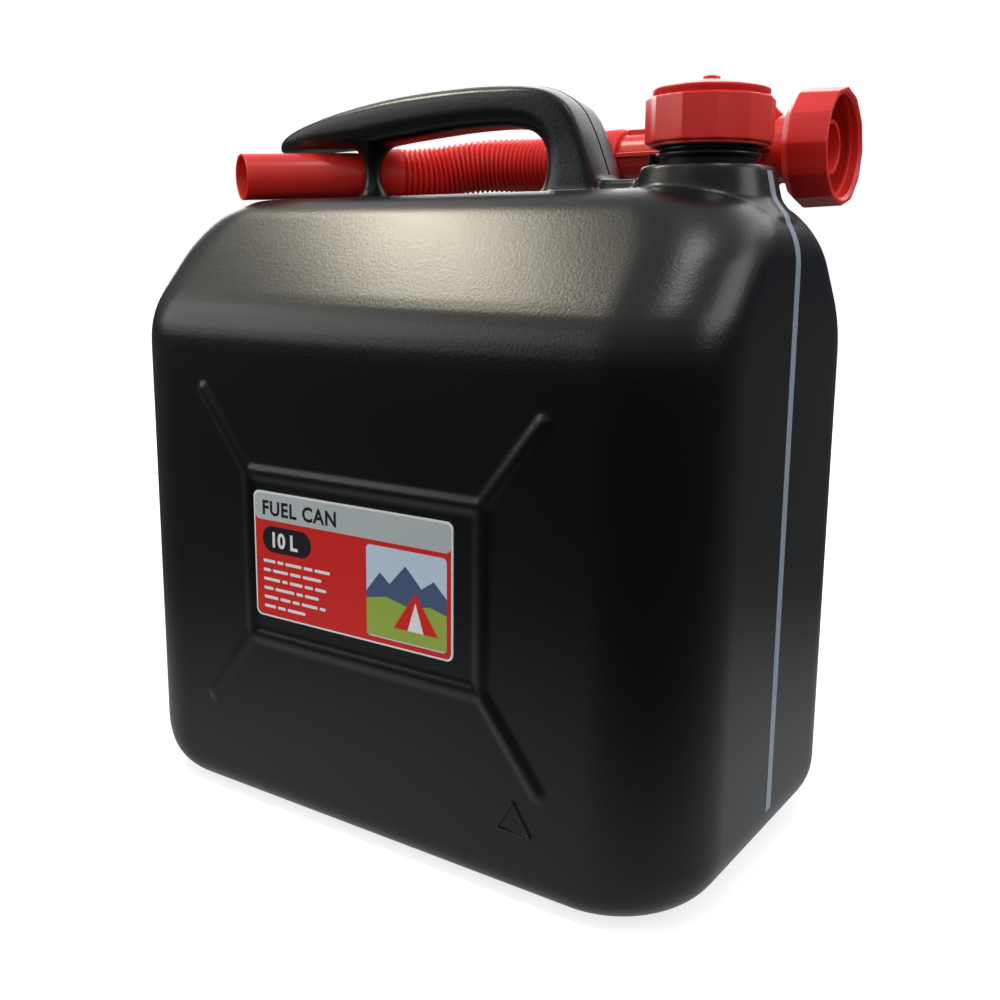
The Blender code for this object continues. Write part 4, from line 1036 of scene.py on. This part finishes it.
def hose_lengths():
    """The hose's straight lead from the base, its bend, and its straight tail into the tip."""
    corner = SPOUT_AXIS_Y / math.sin(TIP_TURN)
    tangent = BEND_RADIUS * math.tan(TIP_TURN / 2)
    corner_x = TIP_CROSSING_X + corner * math.cos(TIP_TURN)
    lead = SPOUT_MOUTH_X - BASE_REACH + CUFF_BORE_DEPTH - corner_x - tangent
    return lead, BEND_RADIUS * TIP_TURN, corner - tangent - TIP_SOCKET_REACH


def hose_sag(share):
    """How far the hose hangs beside the handle's leg, and rises beside the pillar."""
    position = (share - HOSE_SAG_START_SHARE) / (HOSE_SAG_END_SHARE - HOSE_SAG_START_SHARE)
    if not 0 < position < 1:
        return 0
    return -HOSE_SAG * math.sin(2 * math.pi * position) * math.sin(math.pi * position)


def hose_point(share):
    return hose_line(share) + Vector((0, 0, hose_sag(share)))


def hose_line(share):
    lead, bend, tail = hose_lengths()
    travel = share * (lead + bend + tail)
    start_x = SPOUT_MOUTH_X - BASE_REACH + CUFF_BORE_DEPTH
    if travel <= lead:
        return Vector((start_x - travel, SPOUT_AXIS_Y, SPOUT_AXIS_HEIGHT))
    if travel >= lead + bend:
        crossing, inward = tip_axis()
        return crossing + inward * (TIP_SOCKET_REACH + (lead + bend + tail - travel))
    turn = (travel - lead) / BEND_RADIUS
    x = start_x - lead - BEND_RADIUS * math.sin(turn)
    y = SPOUT_AXIS_Y - BEND_RADIUS * (1 - math.cos(turn))
    t = (travel - lead) / bend
    end_height = TIP_CROSSING_HEIGHT + math.sin(TIP_RISE) * (TIP_SOCKET_REACH + tail)
    fall = SPOUT_AXIS_HEIGHT - end_height
    slope = math.sin(TIP_RISE) * bend
    height = SPOUT_AXIS_HEIGHT - fall * (3 * t**2 - 2 * t**3) - slope * (t**3 - t**2)
    return Vector((x, y, height))


def hose_ring(share, radius):
    ahead = hose_point(min(1, share + HOSE_SLOPE_STEP)) - hose_point(max(0, share - HOSE_SLOPE_STEP))
    place = axis_frame(hose_point(share), ahead)
    return [place @ point for point in circle(radius, 0, HOSE_STEPS)]


def build_hose():
    total = sum(hose_lengths())
    cuff = CUFF_LENGTH / total
    socket = CUFF_BORE_DEPTH / total
    edge = CUFF_EDGE / total
    rings = [hose_ring(0, HOSE_RADIUS - CUFF_EDGE)]
    rings += [hose_ring(share, HOSE_RADIUS) for share in (edge, cuff - edge)]
    pitch = (1 - 2 * cuff) / HOSE_RIBS
    for i in range(HOSE_RIBS):
        for part in HOSE_RIB_SHARES:
            swell = (0.5 - 0.5 * math.cos(2 * math.pi * part)) ** HOSE_RIB_FULLNESS
            radius = HOSE_ROOT_RADIUS + (HOSE_RADIUS - HOSE_ROOT_RADIUS) * swell
            rings.append(hose_ring(cuff + pitch * (i + part), radius))
    rings.append(hose_ring(1 - cuff, HOSE_ROOT_RADIUS))
    rings.append(hose_ring(1 - cuff + edge, HOSE_RADIUS))
    rings.append(hose_ring(1 - edge, HOSE_RADIUS))
    rings.append(hose_ring(1, HOSE_RADIUS - CUFF_EDGE))
    rings += [hose_ring(share, TIP_RADIUS + CUFF_GAP) for share in (1, 1 - socket)]
    for i in range(HOSE_BORE_RINGS + 1):
        rings.append(hose_ring(1 - socket - (1 - 2 * socket) * i / HOSE_BORE_RINGS, HOSE_BORE_RADIUS))
    rings += [hose_ring(share, BASE_TUBE_RADIUS + CUFF_GAP) for share in (socket, 0)]
    wall = mesh_of(rings, True)
    hose = make("hose", wall, HOSE_RED_WITH_PAINTED_LIGHT, None, "red_hose", None, HOSE_SHARP_ANGLE, "spout_hose")
    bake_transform(hose)


def fin_rings(angle):
    root = BASE_TUBE_RADIUS - BASE_WALL / 2
    end = -NUT_LENGTH - FIT_GAP
    fall_start = end - GUSSET_GAP - GUSSET_FALL_LENGTH
    stations = (
        (CUFF_BORE_DEPTH + FIN_MARGIN - BASE_REACH, FIN_RADIUS),
        (fall_start - GUSSET_LENGTH - GUSSET_SLOPE_LENGTH, FIN_RADIUS),
        (fall_start - GUSSET_LENGTH, GUSSET_RADIUS),
        (fall_start, GUSSET_RADIUS),
        (end - GUSSET_GAP, GUSSET_FOOT_RADIUS),
    )
    spoke = Vector((math.cos(angle), math.sin(angle), 0))
    side = Vector((-math.sin(angle), math.cos(angle), 0)) * FIN_THICKNESS / 2
    rings = []
    for height, reach in stations:
        lift = Vector((0, 0, height))
        inner = spoke * root + lift
        outer = spoke * reach + lift
        rings.append([inner - side, outer - side, outer + side, inner + side])
    return rings


def bevel(obj, width, segments=2):
    modifier = obj.modifiers.new("edge", "BEVEL")
    modifier.width = width
    modifier.segments = segments
    modifier.limit_method = "ANGLE"
    return obj


def build_base():
    flange_back = NUT_BACK_WALL - NUT_LENGTH + FIT_GAP
    flange_front = flange_back + BASE_FLANGE_THICKNESS
    bore = BASE_TUBE_RADIUS - BASE_WALL
    hub_back = -NUT_LENGTH - FIT_GAP
    profile = fillet(
        (
            (bore, -BASE_REACH),
            (BASE_TUBE_RADIUS, -BASE_REACH),
            (BASE_TUBE_RADIUS, hub_back - BASE_HUB_LENGTH),
            (BASE_HUB_RADIUS, hub_back - BASE_HUB_LENGTH + BASE_HUB_SLOPE),
            (BASE_HUB_RADIUS, flange_back),
            (BASE_FLANGE_RADIUS, flange_back),
            (BASE_FLANGE_RADIUS, flange_front),
            (BASE_SNOUT_RADIUS, flange_front),
            (BASE_SNOUT_RADIUS, -BASE_SNOUT_DEPTH),
            (BASE_SNOUT_RADIUS - BASE_WALL, -BASE_SNOUT_DEPTH),
            (bore, flange_back),
        ),
        BASE_EDGE,
        BASE_EDGE_STEPS,
        True,
    )
    rings = [circle(radius, height, ROUND_STEPS) for radius, height in profile]
    place = spout_frame()
    tube = mesh_of(rings, True)
    make("base_tube", tube, BASE_RED, "spout", "red_base", place, stands_for="spout_base")
    for i in range(FIN_COUNT):
        fin = mesh_of(fin_rings(2 * math.pi * i / FIN_COUNT))
        bevel(make(f"base_fin_{i}", fin, BASE_RED, "spout", "red_base", place), FIN_EDGE)


def facet_ring(radius, height):
    """A ring on the nut's twelve flat sides, with slightly rounded corners."""
    flat = radius * math.cos(math.pi / NUT_SIDES)
    count = NUT_SIDES * NUT_SIDE_STEPS
    ring = []
    for i in range(count):
        angle = 2 * math.pi * i / count
        local = (angle % (2 * math.pi / NUT_SIDES)) - math.pi / NUT_SIDES
        reach = min(flat / math.cos(local), radius * NUT_CORNER_SHARE)
        ring.append(Vector((reach * math.cos(angle), reach * math.sin(angle), height)))
    return ring


def build_nut():
    count = NUT_SIDES * NUT_SIDE_STEPS
    back = -NUT_LENGTH
    rings = [circle(NUT_HOLE_RADIUS, back, count), facet_ring(NUT_RADIUS - NUT_CHAMFER, back)]
    outside = fillet(
        (
            (NUT_RADIUS - NUT_CHAMFER, back),
            (NUT_RADIUS, NUT_CHAMFER + back),
            (NUT_MOUTH_RADIUS, 0),
            (NUT_BORE_RADIUS + NUT_MOUTH_STEP, 0),
        ),
        NUT_EDGE,
    )
    for radius, height in outside[1:-1]:
        rings.append(facet_ring(radius, height))
    rings += [
        circle(NUT_BORE_RADIUS + NUT_MOUTH_STEP, 0, count),
        circle(NUT_BORE_RADIUS, -NUT_MOUTH_STEP, count),
        circle(NUT_BORE_RADIUS, NUT_BACK_WALL - NUT_LENGTH, count),
        circle(NUT_HOLE_RADIUS, NUT_BACK_WALL - NUT_LENGTH, count),
    ]
    place = spout_frame()
    shell = mesh_of(rings, True)
    make("nut_shell", shell, NUT_RED, "nut", "red_nut", place, NUT_SHARP_ANGLE, "spout_nut")
    start = -NUT_THREAD_INSET - THREAD_PITCH * NUT_THREAD_TURNS
    thread = mesh_of(thread_rings(NUT_BORE_RADIUS, -1, start, NUT_THREAD_TURNS))
    make("nut_thread", thread, NUT_RED, "nut", "red_nut", place)


def build_tip():
    crossing, inward = tip_axis()
    place = axis_frame(crossing, inward)
    inner = TIP_RADIUS - TIP_WALL
    root = TIP_SOCKET_REACH + CUFF_BORE_DEPTH - FIT_GAP
    rings = []
    for radius, height, slant in (
        (inner, root, 0),
        (TIP_RADIUS, root, 0),
        (TIP_RADIUS, TIP_EDGE - TIP_REACH, 1),
        (TIP_RADIUS - TIP_EDGE, -TIP_REACH, 1),
        (inner + TIP_EDGE, -TIP_REACH, 1),
        (inner, TIP_EDGE - TIP_REACH, 1),
    ):
        ring = circle(radius, height, ROUND_STEPS)
        for point in ring:
            point.z -= slant * point.x * math.tan(TIP_CUT)
        rings.append(ring)
    make("tip_tube", mesh_of(rings, True), TIP_RED, "tip", "red_tip", place, stands_for="spout_tip")


def dress_seals():
    for node in ("cap_gasket", "spout_gasket"):
        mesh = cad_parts[node].data
        mesh.materials.clear()
        mesh.materials.append(SEAL)


# Room, light and camera


def build_room():
    """A pale floor. The camera sees it fade to white away from the can, and the can's shadow on it."""
    material, nodes, links, _ = new_material("pale_floor")
    nodes.clear()
    place = nodes.new("ShaderNodeTexCoord").outputs["Object"]
    drift = noise(nodes, links, FLOOR_DRIFT_SCALE, GRAIN_DETAIL, place).outputs["Fac"]
    lit = nodes.new("ShaderNodeBsdfDiffuse")
    links.new(tone_between(nodes, links, drift, FLOOR_DARK, FLOOR_LIGHT), lit.inputs["Color"])
    length = nodes.new("ShaderNodeVectorMath")
    length.operation = "LENGTH"
    links.new(place, length.inputs[0])
    distance = length.outputs["Value"]
    fade = mapped(nodes, links, distance, FLOOR_FADE_START, FLOOR_FADE_END, FLOOR_GLOW, 1.0)
    glow = nodes.new("ShaderNodeEmission")
    links.new(fade, glow.inputs["Strength"])
    seen = nodes.new("ShaderNodeAddShader")
    links.new(lit.outputs[0], seen.inputs[0])
    links.new(glow.outputs[0], seen.inputs[1])
    glows = (FLOOR_NEAR_GLOW, FLOOR_FAR_GLOW)
    near = mapped(nodes, links, distance, FLOOR_NEAR, FLOOR_FAR, *glows, "SMOOTHSTEP")
    toward = nodes.new("ShaderNodeVectorMath")
    toward.operation = "DOT_PRODUCT"
    toward.inputs[1].default_value = (math.sin(CAMERA_AZIMUTH), -math.cos(CAMERA_AZIMUTH), 0)
    links.new(place, toward.inputs[0])
    side = toward.outputs["Value"]
    reach = (FLOOR_SHADE_START, FLOOR_SHADE_END)
    shade = mapped(nodes, links, side, *reach, 1.0, FLOOR_SHADE, "SMOOTHSTEP")
    strength = nodes.new("ShaderNodeMath")
    strength.operation = "MULTIPLY"
    links.new(near, strength.inputs[0])
    links.new(shade, strength.inputs[1])
    unseen = nodes.new("ShaderNodeEmission")
    links.new(strength.outputs[0], unseen.inputs["Strength"])
    unseen.inputs["Color"].default_value = (*FLOOR_TINT, 1)
    path = nodes.new("ShaderNodeLightPath")
    surface = mixed(nodes, links, path.outputs["Is Camera Ray"], unseen.outputs[0], seen.outputs[0])
    output = nodes.new("ShaderNodeOutputMaterial")
    links.new(surface, output.inputs["Surface"])
    mesh = bpy.data.meshes.new("floor")
    corners = [(x * FLOOR_HALF, y * FLOOR_HALF, 0) for x, y in ((-1, -1), (1, -1), (1, 1), (-1, 1))]
    mesh.from_pydata(corners, [], [(0, 1, 2, 3)])
    mesh.materials.append(material)
    floor = add_object("floor", mesh)
    floor.location.z = -FLOOR_DROP


def build_world():
    """White to the camera, soft light on matt surfaces, and a dim room in reflections."""
    world = bpy.data.worlds.new("studio")
    bpy.context.scene.world = world
    world.use_nodes = True
    nodes, links = world.node_tree.nodes, world.node_tree.links
    nodes.clear()
    place = nodes.new("ShaderNodeTexCoord").outputs["Generated"]
    split = nodes.new("ShaderNodeSeparateXYZ")
    links.new(place, split.inputs[0])
    ramp = nodes.new("ShaderNodeValToRGB")
    links.new(split.outputs["Z"], ramp.inputs["Fac"])
    for element, (height, colour) in zip(ramp.color_ramp.elements, ROOM_TONES):
        element.position = height
        element.color = (*colour, 1)
    gloss = nodes.new("ShaderNodeBackground")
    links.new(ramp.outputs["Color"], gloss.inputs["Color"])
    soft = nodes.new("ShaderNodeBackground")
    soft.inputs["Color"].default_value = (*SOFT_COLOUR, 1)
    soft.inputs["Strength"].default_value = SOFT_LIGHT
    white = nodes.new("ShaderNodeBackground")
    white.inputs["Color"].default_value = (1, 1, 1, 1)
    path = nodes.new("ShaderNodeLightPath")
    room = mixed(nodes, links, path.outputs["Is Glossy Ray"], soft.outputs[0], gloss.outputs[0])
    surface = mixed(nodes, links, path.outputs["Is Camera Ray"], room, white.outputs[0])
    output = nodes.new("ShaderNodeOutputWorld")
    links.new(surface, output.inputs["Surface"])


def add_light(name, azimuth, elevation, distance, width, height, power, colour):
    data = bpy.data.lights.new(name, "AREA")
    data.shape = "RECTANGLE"
    data.size = width
    data.size_y = height
    data.energy = power
    data.color = colour
    light = add_object(name, data)
    turn, lift = math.radians(azimuth), math.radians(elevation)
    away = Vector((math.cos(turn) * math.cos(lift), math.sin(turn) * math.cos(lift), math.sin(lift)))
    light.location = Vector(LIGHT_TARGET) + away * distance
    light.rotation_euler = (-away).to_track_quat("-Z", "Y").to_euler()
    return light


def build_lights():
    for name, values in LIGHTS.items():
        add_light(name, *values).visible_camera = name != HIDDEN_LIGHT


def build_camera():
    sine, cosine, level = math.sin(CAMERA_AZIMUTH), math.cos(CAMERA_AZIMUTH), math.cos(CAMERA_PITCH)
    forward = Vector((-sine * level, cosine * level, -math.sin(CAMERA_PITCH)))
    right = Vector((cosine, sine, 0))
    up = right.cross(forward)
    rolled_right = right * math.cos(CAMERA_ROLL) + up * math.sin(CAMERA_ROLL)
    rolled_up = up * math.cos(CAMERA_ROLL) - right * math.sin(CAMERA_ROLL)
    data = bpy.data.cameras.new("camera")
    data.sensor_width = CAMERA_SENSOR
    data.lens = CAMERA_LENS
    data.shift_x = CAMERA_SHIFT_X
    data.shift_y = CAMERA_SHIFT_Y
    data.clip_start = CAMERA_CLIP_START
    data.clip_end = CAMERA_CLIP_END
    camera = add_object("camera", data)
    rotation = Matrix((rolled_right, rolled_up, -forward)).transposed().to_4x4()
    camera.matrix_world = Matrix.Translation(CAMERA_PLACE) @ rotation
    bpy.context.scene.camera = camera


skin = build_skin()
build_neck()
build_details(skin)
build_label()
build_cap()
build_base()
build_nut()
build_hose()
build_tip()
dress_seals()
build_room()
build_world()
build_lights()
build_camera()
bpy.context.scene.view_settings.view_transform = "Standard"
